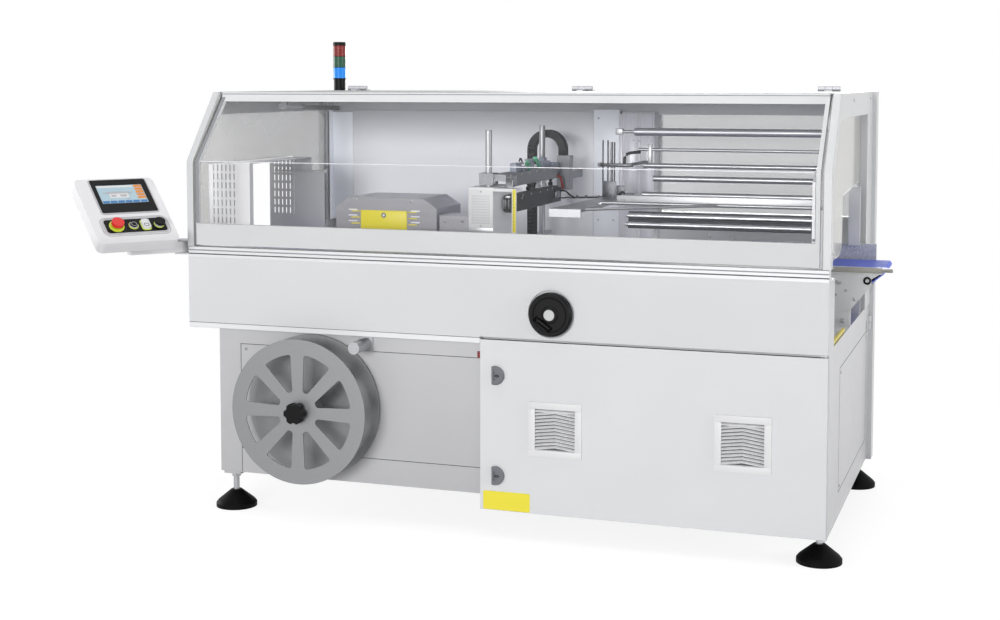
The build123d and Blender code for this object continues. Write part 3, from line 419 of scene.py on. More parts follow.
def tubeInto(build, path, radius, steps=12, finish=0):
    # a round bar or hose that follows the points of path
    rings = []
    for k, point in enumerate(path):
        before = path[max(k - 1, 0)]
        after = path[min(k + 1, len(path) - 1)]
        side, up, along = frameOf(after - before)
        ring = []
        for j in range(steps):
            angle = 2 * math.pi * j / steps
            offset = side * math.cos(angle) + up * math.sin(angle)
            ring.append(build.verts.new(point + offset * radius / 1000))
        rings.append(ring)
    for lower, upper in zip(rings, rings[1:]):
        for j in range(steps):
            after = (j + 1) % steps
            build.faces.new((lower[j], lower[after], upper[after], upper[j])).material_index = finish
    build.faces.new(list(reversed(rings[0]))).material_index = finish
    build.faces.new(rings[-1]).material_index = finish


def plateInto(build, corners, normal, thickness, finish=0):
    # a flat sheet piece with the outline of corners, thickness millimetres towards normal
    lift = Vector(normal).normalized() * thickness / 1000
    low = [build.verts.new(Vector(corner)) for corner in corners]
    high = [build.verts.new(Vector(corner) + lift) for corner in corners]
    build.faces.new(list(reversed(low))).material_index = finish
    build.faces.new(high).material_index = finish
    for k in range(len(corners)):
        after = (k + 1) % len(corners)
        build.faces.new((low[k], low[after], high[after], high[k])).material_index = finish


def screwInto(build, centre, direction, radius=5.0, finish=0, socket=1):
    # button head with a hexagon socket
    high = radius * 0.55
    latheInto(build, [(radius, -0.3), (radius, high * 0.35), (radius * 0.82, high * 0.85), (radius * 0.5, high),
                      (radius * 0.48, high * 0.4), (0, high * 0.4)], centre, direction, 20, finish)
    seat = Vector(centre) + Vector(direction).normalized() * high * 0.45 / 1000
    latheInto(build, [(radius * 0.46, 0), (0, 0.05)], seat, direction, 6, socket)


def boltInto(build, centre, direction, radius=7.0, finish=0):
    # washer with a hexagon head on it
    latheInto(build, [(radius * 1.3, -0.2), (radius * 1.3, 1.4), (0, 1.4)], centre, direction, 24, finish)
    head = Vector(centre) + Vector(direction).normalized() * 0.0014
    latheInto(build, [(radius, 0), (radius, 3.6), (radius * 0.85, 4.4), (0, 4.4)], head, direction, 6, finish)


def addPiece(name, build, materials, body="machine"):
    bmesh.ops.recalc_face_normals(build, faces=build.faces)
    mesh = bpy.data.meshes.new(name)
    build.to_mesh(mesh)
    build.free()
    for material in materials:
        mesh.materials.append(shop[material])
    for polygon in mesh.polygons:
        polygon.use_smooth = True
    mesh.set_sharp_from_angle(angle=math.radians(32))
    piece = bpy.data.objects.new(name, mesh)
    bpy.context.scene.collection.objects.link(piece)
    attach(piece, body)
    return piece


# Door: louvred vents, label plate, lock slots


def addVents():
    look = {"side": 188, "opening": 141, "slats": 12, "fold": 9, "thick": 1.6, "lean": 4.5, "height": 390,
            "places": (1401, 2040)}
    build = bmesh.new()
    outer, inner = look["side"] / 2, look["opening"] / 2
    for middle in look["places"]:
        z = look["height"]
        for low, high in (((-outer, inner), (outer, outer)), ((-outer, -outer), (outer, -inner)),
                          ((-outer, -inner), (-inner, inner)), ((inner, -inner), (outer, inner))):
            boxInto(build, at(middle + low[0], -6.5, z + low[1]), at(middle + high[0], 0, z + high[1]), 0.5)
        pitch = look["opening"] / look["slats"]
        for k in range(look["slats"]):
            base = z - inner + pitch * (k + 0.12)
            for first, last, zFirst, zLast in ((-inner, 0, 0, look["fold"]), (0, inner, look["fold"], 0)):
                zFirst = min(zFirst, inner * 2 - pitch * (k + 0.9))
                zLast = min(zLast, inner * 2 - pitch * (k + 0.9))
                corners = [at(middle + first, -5.8, base + zFirst), at(middle + last, -5.8, base + zLast),
                           at(middle + last, 6, base + zLast + look["lean"]),
                           at(middle + first, 6, base + zFirst + look["lean"])]
                # the slats in a whiter finish than the frame: painted light to make up for their shade
                plateInto(build, corners, (0, -0.5, 0.85), look["thick"], 2)
        back = [at(middle - inner, 8, z - inner), at(middle + inner, 8, z - inner),
                at(middle + inner, 8, z + inner), at(middle - inner, 8, z + inner)]
        plateInto(build, back, toFront, 0.6, 1)
    vents = addPiece("louvredVents", build, ("ventWhite", "filterGrey", "slatLitWhite"), "door")
    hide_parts("vent_grilles")


def addDoorLabel():
    look = {"left": 1142, "right": 1311, "low": 98, "high": 163, "corner": 4}
    build = bmesh.new()
    corners = []
    for x, z, start in ((look["right"], look["low"], -90), (look["right"], look["high"], 0),
                        (look["left"], look["high"], 90), (look["left"], look["low"], 180)):
        for step in (0, 30, 60, 90):
            angle = math.radians(start + step)
            inX = look["corner"] * (math.cos(angle) - math.copysign(1, x - (look["left"] + look["right"]) / 2))
            inZ = look["corner"] * (math.sin(angle) - math.copysign(1, z - (look["low"] + look["high"]) / 2))
            corners.append(at(x + inX, -0.05, z + inZ))
    plateInto(build, corners, toFront, 0.5)
    addPiece("doorLabel", build, ("yellowPlate",), "door")


def addLockSlots():
    # the dark diamond of the key slot in each lock
    look = {"x": 1196, "heights": (218, 566), "long": 10, "high": 5.4}
    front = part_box("door_locks")[0][1]
    build = bmesh.new()
    for z in look["heights"]:
        for share, finish, lift in ((1.0, 1, 0.0), (0.4, 0, 0.0004)):
            long, high = look["long"] * share, look["high"] * share
            corners = [at(look["x"] + x, 0, z + up) for x, up in ((-long, 0), (0, -high), (long, 0), (0, high))]
            for corner in corners:
                corner.y = front - lift
            plateInto(build, corners, toFront, 0.4, finish)
    addPiece("lockSlots", build, ("lockGrey", "blackPlastic"), "door")


# Seams, folds and screws of the body


def addSeams():
    look = {"width": 2.2, "foldHeight": 693, "doorLeft": 1130}
    build = bmesh.new()
    width = look["width"]
    front = [((182, 613), (1128, 613)), ((182, 227), (1128, 227)), ((182, 140), (182, 613))]
    for (x0, z0), (x1, z1) in front:
        boxInto(build, at(x0, 49.7, z0 - width / 2), at(x1 + width, 50.2, z1 + width / 2), 0)
    side = [((316, 177), (316, 603)), ((1150, 177), (1150, 603)), ((316, 177), (1150, 177)),
            ((316, 603), (1150, 603))]
    for (y0, z0), (y1, z1) in side:
        boxInto(build, at(2309.8, y0, z0 - width / 2), at(2310.35, y1 + width, z1 + width / 2), 0)
        boxInto(build, at(95.65, y0, z0 - width / 2), at(96.2, y1 + width, z1 + width / 2), 0)
    low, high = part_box("front_panel")
    fold = look["foldHeight"]
    boxInto(build, at(1, -0.3, fold - 0.8), at(look["doorLeft"], 0.2, fold + 0.8), 0)
    strip = at(1, -0.25, 0), at(look["doorLeft"], 0.2, fold - 1.2)
    strip[0].z = low[2] + 0.0004
    boxInto(build, strip[0], strip[1], 0, 1)
    boxInto(build, at(1103, 49, 612), at(1114, 50.2, 637), 0, 2)
    addPiece("panelSeams", build, ("seamGrey", "foldWhite", "wineRed"))
    build = bmesh.new()
    low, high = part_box("cabinet_door")
    boxInto(build, (low[0] + 0.001, low[1] + 0.001, high[2] - 0.0002),
            (high[0] - 0.022, low[1] + 0.014, high[2] + 0.0003), 0.1)
    addPiece("doorSeam", build, ("lineDark",), "door")


def addBodyScrews():
    look = {"panel": 6.0, "sheet": 5.5}
    build = bmesh.new()
    screwInto(build, at(205, 50, 595), toFront, look["panel"])
    for y, z in ((340, 585), (1128, 585), (340, 195), (1128, 195)):
        screwInto(build, at(2310, y, z), toRight, look["panel"])
    for y, z in ((565, 1504), (1118, 1506)):
        screwInto(build, at(2314, y, z), toRight, look["sheet"])
    for z in (1020, 975):
        screwInto(build, at(2314, 44, z), toRight, look["sheet"])
    for x in (60, 420, 780, 1155, 1530, 1900, 2250):
        for z in (150, 1490):
            centre = at(x, 1281, z)  # countersunk, flush with the cover
            latheInto(build, [(look["panel"], -1.5), (look["panel"], 0.03), (0, 0.04)], centre, toBack, 20)
            latheInto(build, [(look["panel"] * 0.45, 0.03), (0, 0.06)], centre, toBack, 6, 1)
    addPiece("bodyScrews", build, ("zincScrew", "darkSteel"))


# Sealing head and the covers beside the outfeed


def addHousingPlate():
    look = {"left": 556, "right": 736, "low": 1024, "high": 1092, "front": 300}
    build = bmesh.new()
    boxInto(build, at(look["left"] - 3, look["front"] - 0.6, look["low"] - 3),
            at(look["right"] + 3, look["front"] + 0.2, look["high"] + 3), 0.2, 1)
    boxInto(build, at(look["left"], look["front"] - 1.2, look["low"]),
            at(look["right"], look["front"], look["high"]), 0.3)
    middle = (look["left"] + look["right"]) / 2
    latheInto(build, [(9, 0), (9, 0.6), (0, 0.6)], at(middle, look["front"] - 1.2, look["high"] - 15), toFront, 28, 2)
    latheInto(build, [(5, 0), (5, 0.4), (0, 0.4)], at(middle, look["front"] - 1.8, look["high"] - 15), toFront, 24, 3)
    for x in (515, 744):
        for z in (1044.5, 1067.5, 1090.5):
            boxInto(build, at(x, look["front"] - 0.6, z - 2.3), at(x + 34, look["front"] + 0.2, z + 2.3), 0.4, 4)
    corners = [at(x, y, z) for x, y,
               z in ((818, 452, 1123.2), (818, 492, 1123.2), (832, 492, 1109.2), (832, 452, 1109.2))]
    plateInto(build, corners, (1, 0, 1), 0.8)
    addPiece("housingPlate", build, ("yellowPlate", "darkSteel", "mutedBlue", "ventWhite", "hoseBlack"))
    build = bmesh.new()
    for x, z in ((535, 1132), (754, 1131), (886, 1061), (956, 1063)):
        screwInto(build, at(x, 300, z), toFront, 5.5)
    addPiece("housingScrews", build, ("zincScrew", "darkSteel"))


def addDottedPlate():
    look = {"left": 1007, "right": 1097, "low": 1048, "high": 1186, "front": 230, "columns": 8, "rows": 11}
    build = bmesh.new()
    boxInto(build, at(look["left"], look["front"] - 2, look["low"]),
            at(look["right"], look["front"] + 0.2, look["high"]), 0.8)
    gapX = (look["right"] - look["left"] - 28) / (look["columns"] - 1)
    gapZ = (look["high"] - look["low"] - 42) / (look["rows"] - 1)
    for column in range(look["columns"]):
        for row in range(look["rows"]):
            place = at(look["left"] + 14 + gapX * column, look["front"] - 2, look["low"] + 18 + gapZ * row)
            latheInto(build, [(2.6, 0.04), (0, 0.06)], place, toFront, 12, 1)
    for z in (look["low"] + 8, look["high"] - 8):
        screwInto(build, at((look["left"] + look["right"]) / 2, look["front"] - 2, z), toFront, 3.0, 2, 3)
    addPiece("dottedPlate", build, ("ventWhite", "dotGrey", "zincScrew", "darkSteel"))


def addHeadScale():
    look = {"left": 1171, "right": 1183, "low": 1035, "high": 1188, "front": 230, "step": 5}
    build = bmesh.new()
    boxInto(build, at(look["left"], look["front"] - 1.0, look["low"]),
            at(look["right"], look["front"] + 0.2, look["high"]), 0.3)
    marks = int((look["high"] - look["low"]) / look["step"])
    for k in range(1, marks):
        reach = 7 if k % 2 == 0 else 4
        z = look["low"] + k * look["step"]
        boxInto(build, at(look["left"] + 1, look["front"] - 1.15, z - 0.5),
                at(look["left"] + 1 + reach, look["front"] - 0.9, z + 0.5), 0, 1)
    addPiece("headScale", build, ("yellowPlate", "blackPlastic"))


# Control panel dress

panelFace = {"corner": (-343, -213, 1216), "turn": 55, "tilt": 40, "thick": 46}


def onFace(u, v, lift=0.0):
    turn, tilt = math.radians(panelFace["turn"]), math.radians(panelFace["tilt"])
    across = Vector((math.cos(turn), math.sin(turn), 0))
    outward = Vector((math.sin(turn), -math.cos(turn), 0))
    slope = outward * math.cos(tilt) - Vector((0, 0, math.sin(tilt)))
    return at(*panelFace["corner"]) + (across * u + slope * v + faceNormal() * lift) / 1000


def faceNormal():
    turn, tilt = math.radians(panelFace["turn"]), math.radians(panelFace["tilt"])
    outward = Vector((math.sin(turn), -math.cos(turn), 0))
    return outward * math.sin(tilt) + Vector((0, 0, math.cos(tilt)))


def roundedOutline(u0, v0, u1, v1, radius, lift, steps=5):
    points = []
    for u, v, start in ((u1 - radius, v0 + radius, -90), (u1 - radius, v1 - radius, 0),
                        (u0 + radius, v1 - radius, 90), (u0 + radius, v0 + radius, 180)):
        for k in range(steps + 1):
            angle = math.radians(start + 90 * k / steps)
            points.append(onFace(u + radius * math.cos(angle), v + radius * math.sin(angle), lift))
    return points


def ringInto(build, inner, outer, low, high, finish=0):
    # a raised rim between two rounded outlines (u0, v0, u1, v1, radius)
    loops = [roundedOutline(*outer, low), roundedOutline(*outer, high), roundedOutline(*inner, high),
             roundedOutline(*inner, low)]
    loops = [[build.verts.new(point) for point in loop] for loop in loops]
    count = len(loops[0])
    for k in range(4):
        first, second = loops[k], loops[(k + 1) % 4]
        for j in range(count):
            after = (j + 1) % count
            build.faces.new((first[j], first[after], second[after], second[j])).material_index = finish


def addScreenFrame():
    look = {"bezel": (55, 10, 265, 178, 6), "rim": 5}
    u0, v0, u1, v1, radius = look["bezel"]
    rim = look["rim"]
    build = bmesh.new()
    ringInto(build, (u0, v0, u1, v1, radius), (u0 - rim, v0 - rim, u1 + rim, v1 + rim, radius + rim), 0, 3.5)
    addPiece("screenFrame", build, ("panelRim",), "control_arm")


def addScreenPicture():
    # a made-up page: pale ground, header, tiles at the right and foot, a plain block drawing
    look = {"u0": 71, "v0": 37, "u1": 245, "v1": 131, "lift": 3.0, "tiles": 5, "keys": 6}
    build = bmesh.new()
    u0, v0, u1, v1, lift = (look[k] for k in ("u0", "v0", "u1", "v1", "lift"))

    def tile(a, b, c, d, raise_, finish):
        plateInto(build, [onFace(a, b, lift), onFace(a, d, lift), onFace(c, d, lift), onFace(c, b, lift)],
                  faceNormal(), raise_, finish)

    tile(u0, v0, u1, v1, 0.2, 0)
    tile(u0 + 2, v0 + 2, u1 - 36, v0 + 12, 0.3, 1)
    size = (v1 - v0 - 20) / look["tiles"]
    for k in range(look["tiles"]):
        top = v0 + 2 + size * k
        tile(u1 - 32, top, u1 - 2, top + size - 3, 0.35, 2)
    width = (u1 - u0 - 4) / look["keys"]
    for k in range(look["keys"]):
        tile(u0 + 3 + width * k, v1 - 14, u0 + width * (k + 1), v1 - 2, 0.35, 3)
    for a, b, c, d, finish in ((30, 34, 118, 44, 4), (38, 44, 110, 66, 1), (44, 50, 62, 60, 4), (78, 50, 102, 60, 4),
                               (14, 38, 30, 41, 4), (118, 38, 132, 41, 4), (40, 66, 43, 72, 4),
                               (105, 66, 108, 72, 4)):
        tile(u0 + a, v0 + b, u0 + c, v0 + d, 0.4 if finish == 1 else 0.5, finish)
    addPiece("screenPicture", build, ("pageBlue", "ventWhite", "tileOrange", "keyBlue", "boxGrey"), "control_arm")


def addButtonDress():
    look = {"row": 247, "stop": 84, "ringed": 147, "double": 192, "mushroom": 243}
    build = bmesh.new()
    normal = faceNormal()
    ringInto(build, (43, 213, 269, 279, 12), (37, 207, 275, 285, 18), 0, 3.2, 0)
    ringInto(build, (33, 203, 279, 289, 22), (29, 199, 283, 293, 26), 0, 1.2, 0)
    latheInto(build, [(27.4, 3), (27.4, 6.8), (26, 7.6), (13.5, 7.6), (13, 6.5)], onFace(look["stop"], look["row"]),
              normal, 40, 1)
    for u, inner in ((look["ringed"], 13.4), (look["mushroom"], 12.4)):
        latheInto(build, [(18.5, 3), (18.5, 4.6), (17.6, 5.4), (16.4, 5.4), (16.4, 3)], onFace(u, look["row"]),
                  normal, 36, 1)
        latheInto(build, [(16.2, 3), (16.2, 7.4), (15.2, 8.4), (inner, 8.4), (inner, 4)], onFace(u, look["row"]),
                  normal, 36, 0)
    latheInto(build, [(10.2, 12.1), (10.2, 12.5), (8.8, 12.5), (8.8, 12.1)], onFace(look["ringed"], look["row"]),
              normal, 32, 0)
    middle, row = look["double"], look["row"]
    ringInto(build, (middle - 14.4, row - 22.4, middle + 14.4, row + 22.4, 8),
             (middle - 18, row - 26, middle + 18, row + 26, 11), 3, 5, 1)
    ringInto(build, (middle - 13, row - 21, middle + 13, row + 21, 7),
             (middle - 15, row - 23, middle + 15, row + 23, 9), 3, 13, 2)
    loop = [build.verts.new(p) for p in roundedOutline(middle - 13.5, row - 21.5, middle + 13.5, row + 21.5, 7, 12.8)]
    build.faces.new(loop).material_index = 2
    ringInto(build, (middle - 7, row + 2, middle + 7, row + 12, 4), (middle - 9, row, middle + 9, row + 14, 5), 12.8,
             13.2, 3)
    addPiece("buttonDress", build, ("panelRim", "collarYellow", "ventWhite", "blackPlastic"), "control_arm")


# Hood: pane edge, rail lines, screws inside the left frame


def addPaneEdge():
    # the polished edge where the upright pane meets the slanted one
    look = {"left": 52, "right": 2258, "front": 1, "height": 1281}
    build = bmesh.new()
    boxInto(build, at(look["left"], look["front"], look["height"] - 1.3),
            at(look["right"], look["front"] + 2, look["height"] + 1.3), 0.4)
    addPiece("paneEdge", build, ("edgeWhite",), "lid")


def addHoodScrews():
    build = bmesh.new()
    for y, z in ((229, 1463), (430, 1462), (645, 1466), (114, 1361), (30, 1200), (30, 1130)):
        screwInto(build, at(21.2, y, z), toRight, 5.5)
    for x in (1923, 2000, 2259):
        latheInto(build, [(4.5, 0), (4.5, 3), (3.6, 4), (0, 4)], at(x, -0.2, 1066), toFront, 20, 1)
    addPiece("hoodScrews", build, ("zincScrew", "darkSteel"))


def addLines():
    # shadow gaps of the rail, the fold of the roof and a grey strip of painted shade on the left rib of the lid
    look = {"right": 2310, "rail": ((942.6, 945.8, 0), (955.9, 959.3, 1), (969.6, 971.2, 0))}
    build = bmesh.new()
    for low, high, finish in look["rail"]:
        boxInto(build, at(0, -0.3, low), at(look["right"], 0.3, high), 0, finish)
    addPiece("railLines", build, ("lineDark", "lineGrey"))
    build = bmesh.new()
    boxInto(build, at(32, 207.6, 1521.5), at(2278, 208.3, 1524.5), 0, 0)
    boxInto(build, at(32, 207.7, 1494.2), at(2278, 208.3, 1495.4), 0, 1)
    addPiece("roofFold", build, ("lineGrey", "lineDark"), "lid")
    build = bmesh.new()
    # painted shade: a grey strip on the front and the slope of the left rib
    slope = Vector((0, -230, 206))
    for corners, normal in (([(32.5, 1.9, 1056), (45.5, 1.9, 1056), (45.5, 1.9, 1281), (32.5, 1.9, 1281)], toFront),
                            ([(32.5, 1.9, 1281), (45.5, 1.9, 1281), (45.5, 207.4, 1510.5), (32.5, 207.4, 1510.5)],
                             slope)):
        plateInto(build, [at(*corner) for corner in corners], normal, 0.5)
    addPiece("ribPaintedShade", build, ("ribShadeGrey",), "lid")


def addTunnelSlotShade():
    # a grey sheet of painted shade that shows through the slots of the outer leg, and its edge strip
    build = bmesh.new()
    boxInto(build, at(-82, 302.9, 973), at(106, 304, 1256), 0.2, 0)
    boxInto(build, at(103.8, 299.4, 974), at(106.8, 300.1, 1258), 0.2, 1)
    addPiece("tunnelSlotShade", build, ("slotShadeGrey", "lineGrey"))


def addHandwheelCap():
    look = {"radius": 19, "high": 2.2}
    low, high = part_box("handwheel")
    centre = Vector(((low[0] + high[0]) / 2, low[1] - 0.0002, (low[2] + high[2]) / 2))
    radius = look["radius"]
    build = bmesh.new()
    latheInto(build, [(radius, -6), (radius, 0.6), (radius - 1.5, look["high"]), (0, look["high"] + 0.3)], centre,
              toFront, 40)
    addPiece("handwheelCap", build, ("capGrey",), "handwheel")


def addHeadDress():
    # on the moving beam: clamp nuts, plug, valves with their hoses, and the spring posts under it
    look = {"right": 1133, "top": 1238, "post": 9}
    build = bmesh.new()
    right, top = look["right"], look["top"]
    for y, z in ((275, 1231), (275, 1210), (300, 1218)):
        boltInto(build, at(1087, y, z), toRight, 6.5, 0)
    boxInto(build, at(right - 0.2, 318, 1215.5), at(right + 0.8, 330, 1236), 0.2, 1)
    boxInto(build, at(right - 6, 345, 1191), at(right + 2.5, 388, 1232), 1.5, 2)
    for y in (352, 372):
        boxInto(build, at(1104, y, 1186), at(1131, y + 4, 1191), 0.4, 0)
    for y in (286, 304):
        screwInto(build, at(right, y, 1227), toRight, 3.5, 0, 2)
    for y in (430, 520, 610, 700, 790, 880):
        screwInto(build, at(1119, y, top), upward, 5.0, 0, 2)
        boxInto(build, at(right - 0.2, y + 18, 1226), at(right + 0.5, y + 26, 1234), 0.2, 1)
    for y in (570, 690, 775, 850):
        latheInto(build, [(look["post"], -3), (look["post"], 10), (5, 10), (5, 18), (8, 18), (8, 24.2)],
                  at(1119, y, 1166),
                  upward, 20, 2 if y in (570, 850) else 0)
    addPiece("beamFittings", build, ("zincScrew", "yellowPlate", "blackPlastic"), "upper_jaw")
    build = bmesh.new()
    for x0, x1, y0, y1, high in ((1094, 1118, 428, 496, 1270), (1092, 1120, 505, 548, 1256),
                                 (1098, 1124, 738, 832, 1262),
                                 (1100, 1122, 752, 796, 1276), (1092, 1130, 850, 925, 1252)):
        boxInto(build, at(x0, y0, top - 0.3), at(x1, y1, high), 1.5, 0)
    latheInto(build, [(12, 0), (12, 26), (9, 28), (9, 40), (0, 40)], at(1110, 632, top - 0.3), upward, 24, 0)
    latheInto(build, [(8, 0), (8, 9), (6, 11), (0, 11)], at(1106, 505, 1258), toFront, 20, 1)
    for path in ((at(1114, 556, 1246), at(1114, 562, 1264), at(1113, 578, 1270), at(1113, 592, 1256),
                  at(1113, 600, 1240)),
                 (at(1112, 676, 1270), at(1112, 690, 1274), at(1112, 704, 1262), at(1112, 722, 1246),
                  at(1112, 734, 1240))):
        tubeInto(build, path, 6.5, 12, 2)
    latheInto(build, [(9, 0), (9, 8), (7, 10), (0, 10)], at(1112, 676, 1274), upward, 20, 2)
    for y, z in ((530, 1262), (586, 1272), (772, 1276)):
        latheInto(build, [(7, 0), (8, 2), (8, 6), (5, 8), (0, 8)], at(1108, y, z), upward, 20, 3)
    tubeInto(build, [at(1106, 536, 1270), at(1104, 530, 1282), at(1104, 518, 1284), at(1104, 508, 1274)], 3, 10, 4)
    addPiece("beamValves", build, ("valveGrey", "capBlue", "hoseGreen", "zincScrew", "hoseBlack"), "upper_jaw")
    build = bmesh.new()
    tubeInto(build, [at(1134, 898, 1200), at(1144, 906, 1192), at(1145, 922, 1168), at(1143, 938, 1148)], 4.5, 12, 0)
    addPiece("redHose", build, ("cableRed",), "upper_jaw")


def addLowerJawDress():
    # on the fixed bar: screws along its side, ribs on the rounded end, connector and cable to the former
    build = bmesh.new()
    for y, z in ((464, 1152), (561, 1150), (674, 1150), (764, 1152), (830, 1154), (452, 1142)):
        screwInto(build, at(1133, y, z), toRight, 4.5, 0, 2)
    for x in (1108, 1114, 1128):
        boxInto(build, at(x, 312.2, 1112), at(x + 1.6, 316, 1146), 0.4, 0)
    boxInto(build, at(1112, 318, 1150), at(1131, 334, 1158.5), 0.6, 0)
    boxInto(build, at(1132.8, 857, 1112), at(1144, 900, 1140), 2, 1)
    boxInto(build, at(1005.5, 229.2, 1030), at(1097.5, 230.2, 1049), 0.2, 3)
    addPiece("barFittings", build, ("zincScrew", "hoseBlack", "blackPlastic", "lineGrey"))
    build = bmesh.new()
    tubeInto(build,
             [at(1140, 898, 1132), at(1146, 915, 1140), at(1157, 935, 1136), at(1172, 944, 1120), at(1189, 945, 1111),
                     at(1227, 945, 1112), at(1262, 944, 1113), at(1300, 944, 1115), at(1334, 938, 1120)], 3.6, 12, 0)
    tubeInto(build, [at(1140, 880, 1116), at(1152, 912, 1110), at(1166, 932, 1112), at(1189, 940, 1109)], 2.5, 10, 0)
    for x in (1202, 1238, 1290):
        boxInto(build, at(x - 4, 938, 1109), at(x + 4, 951, 1121), 1, 1)
    addPiece("barCable", build, ("hoseBlack", "zincScrew"))


def addChainRibs():
    look = {"left": 987, "thick": 30, "outer": 80, "front": 962, "low": 958, "turn": 1297, "pitch": 15.0}
    build = bmesh.new()
    front = look["front"]
    count = int((look["turn"] - look["low"]) / look["pitch"])
    for k in range(count):
        z = look["low"] + look["pitch"] * k
        boxInto(build, at(look["left"] + 1, front - 0.8, z),
                at(look["left"] + look["thick"] - 1, front + 0.2, z + 11), 0.6, 0)
    centreX = look["left"] + look["outer"]
    for k in range(14):
        first, last = math.radians(180 - 13 * k - 1.5), math.radians(180 - 13 * k - 11)
        inner, outer = look["outer"] - look["thick"] + 1, look["outer"] - 1
        corners = [at(centreX + r * math.cos(a), front, look["turn"] + r * math.sin(a))
                   for r, a in ((inner, first), (outer, first), (outer, last), (inner, last))]
        plateInto(build, corners, toFront, 0.8)
    addPiece("chainRibs", build, ("ribBlack",))


def addFormerRods():
    # thin upright rods on the former with their bracket, clear plate and black tube
    look = {"y": 850, "low": 1118}
    y = look["y"]
    build = bmesh.new()
    for x, high, finish in ((1304, 1343, 0), (1324, 1343, 0), (1334, 1336, 1), (1341, 1336, 0), (1350, 1336, 0)):
        latheInto(build, [(3, 0), (3, high - look["low"]), (0, high - look["low"] + 1)], at(x + 28, y, look["low"]),
                  upward, 14, finish)
    boxInto(build, at(1320, y - 9, 1241), at(1452, y + 9, 1254), 3, 0)
    latheInto(build, [(9, -9), (9, 9), (0, 9)], at(1321, y, 1247.5), toFront, 24, 0)
    boxInto(build, at(1424, y + 8, 1243), at(1442, 1150, 1252), 1, 0)
    boxInto(build, at(1336, y - 14, 1116), at(1388, y - 11, 1186), 0.5, 2)
    boxInto(build, at(1333, y - 15, 1116), at(1336, y - 10, 1190), 0.4, 0)
    boxInto(build, at(1388, y - 8, 1116), at(1420, y - 4, 1170), 0.5, 2)
    for x, z in ((1344, 1252), (1366, 1256), (1402, 1256), (1352, 1126), (1376, 1130)):
        screwInto(build, at(x, y - 9, z), toFront, 4.0, 1, 0)
    addPiece("formerRods", build, ("darkSteel", "zincScrew", "plateSteel"))
    build = bmesh.new()
    tubeInto(build,
             [at(1418, y - 4, 1254), at(1420, y - 4, 1278), at(1426, y, 1290), at(1442, y, 1296),
              at(1476, y + 20, 1299)],
             6, 12, 0)
    tubeInto(build, [at(1396, y - 14, 1120), at(1400, y - 18, 1136), at(1412, y - 16, 1146), at(1424, y - 12, 1138)],
             4, 10, 0)
    addPiece("formerTubes", build, ("hoseBlack",))
    build = bmesh.new()
    boxInto(build, at(1392, 810, 1366), at(1420, 830, 1390), 1.5, 0)
    boxInto(build, at(1548, 693, 1256), at(1562, 707, 1330), 1.5, 0)
    boxInto(build, at(1546, 691, 1330), at(1564, 709, 1336), 1.0, 1)
    for x in (1520, 1560):
        screwInto(build, at(x, 462, 1142), toFront, 5.0, 2, 1)
    # the face of the film bar, in the bar grey with its painted shade towards the right
    boxInto(build, at(1490, 461.2, 1124.5), at(2262, 462.1, 1159.5), 0.3, 3)
    addPiece("rodBlocks", build, ("zincScrew", "darkSteel", "ventWhite", "barGrey"))


def addPostStrips():
    # painted light and shade for the folds and edges of the posts behind the rollers, with painted shadow lines
    # beside the post face, their screws, and plates of painted light on the rear post at the left and on the post
    # face
    build = bmesh.new()
    # light, grey and dark strips: painted light and shade of the folded posts
    for x0, x1, y, finish in ((1318.5, 1328.5, 1158, 0), (1331, 1395, 1148.6, 4), (1342, 1345, 1148.3, 1),
                              (1396, 1399, 1148.3, 2),
                              (1404, 1407, 1148.3, 2), (1408, 1456, 1148.6, 3), (1457, 1464, 1148.3, 2)):
        boxInto(build, at(x0, y, 905), at(x1, y + 0.7, 1440), 0.2, finish)
    for x in (1376, 1401):
        screwInto(build, at(x, 1148.4, 1332), toFront, 4.0, 0, 2)
    for x, z in ((1226, 1420), (1226, 1005), (1290, 1005)):
        screwInto(build, at(x, 1167, z), toFront, 5.0, 0, 2)
    # painted shadow lines beside the face of the post behind the rollers
    boxInto(build, at(1203.5, 1166.4, 905), at(1205.5, 1167.3, 1455), 0.2, 2)
    boxInto(build, at(1314, 1166.4, 905), at(1316, 1167.3, 1455), 0.2, 1)
    addPiece("postFoldShading", build, ("edgeWhite", "lineGrey", "lineDark", "valveGrey", "coverGrey"))
    build = bmesh.new()
    # painted light: a brighter plate on the rear post at the left, and a plate on the face of the post behind the
    # rollers kept out of the wall's painted shade
    boxInto(build, at(26.2, 1193, 975), at(118.8, 1194.8, 1438), 0.3, 0)
    boxInto(build, at(1206.5, 1166.3, 905), at(1313.5, 1167.2, 1455), 0.3, 1)
    addPiece("postFace", build, ("postLitWhite", "headWhite"))
    build = bmesh.new()
    # painted light on the inner cheek of the rear post, which lies in shade
    boxInto(build, at(26.1, 1152, 975), at(26.9, 1193, 1446), 0.2, 0)
    addPiece("postCheek", build, ("postLitWhite",))


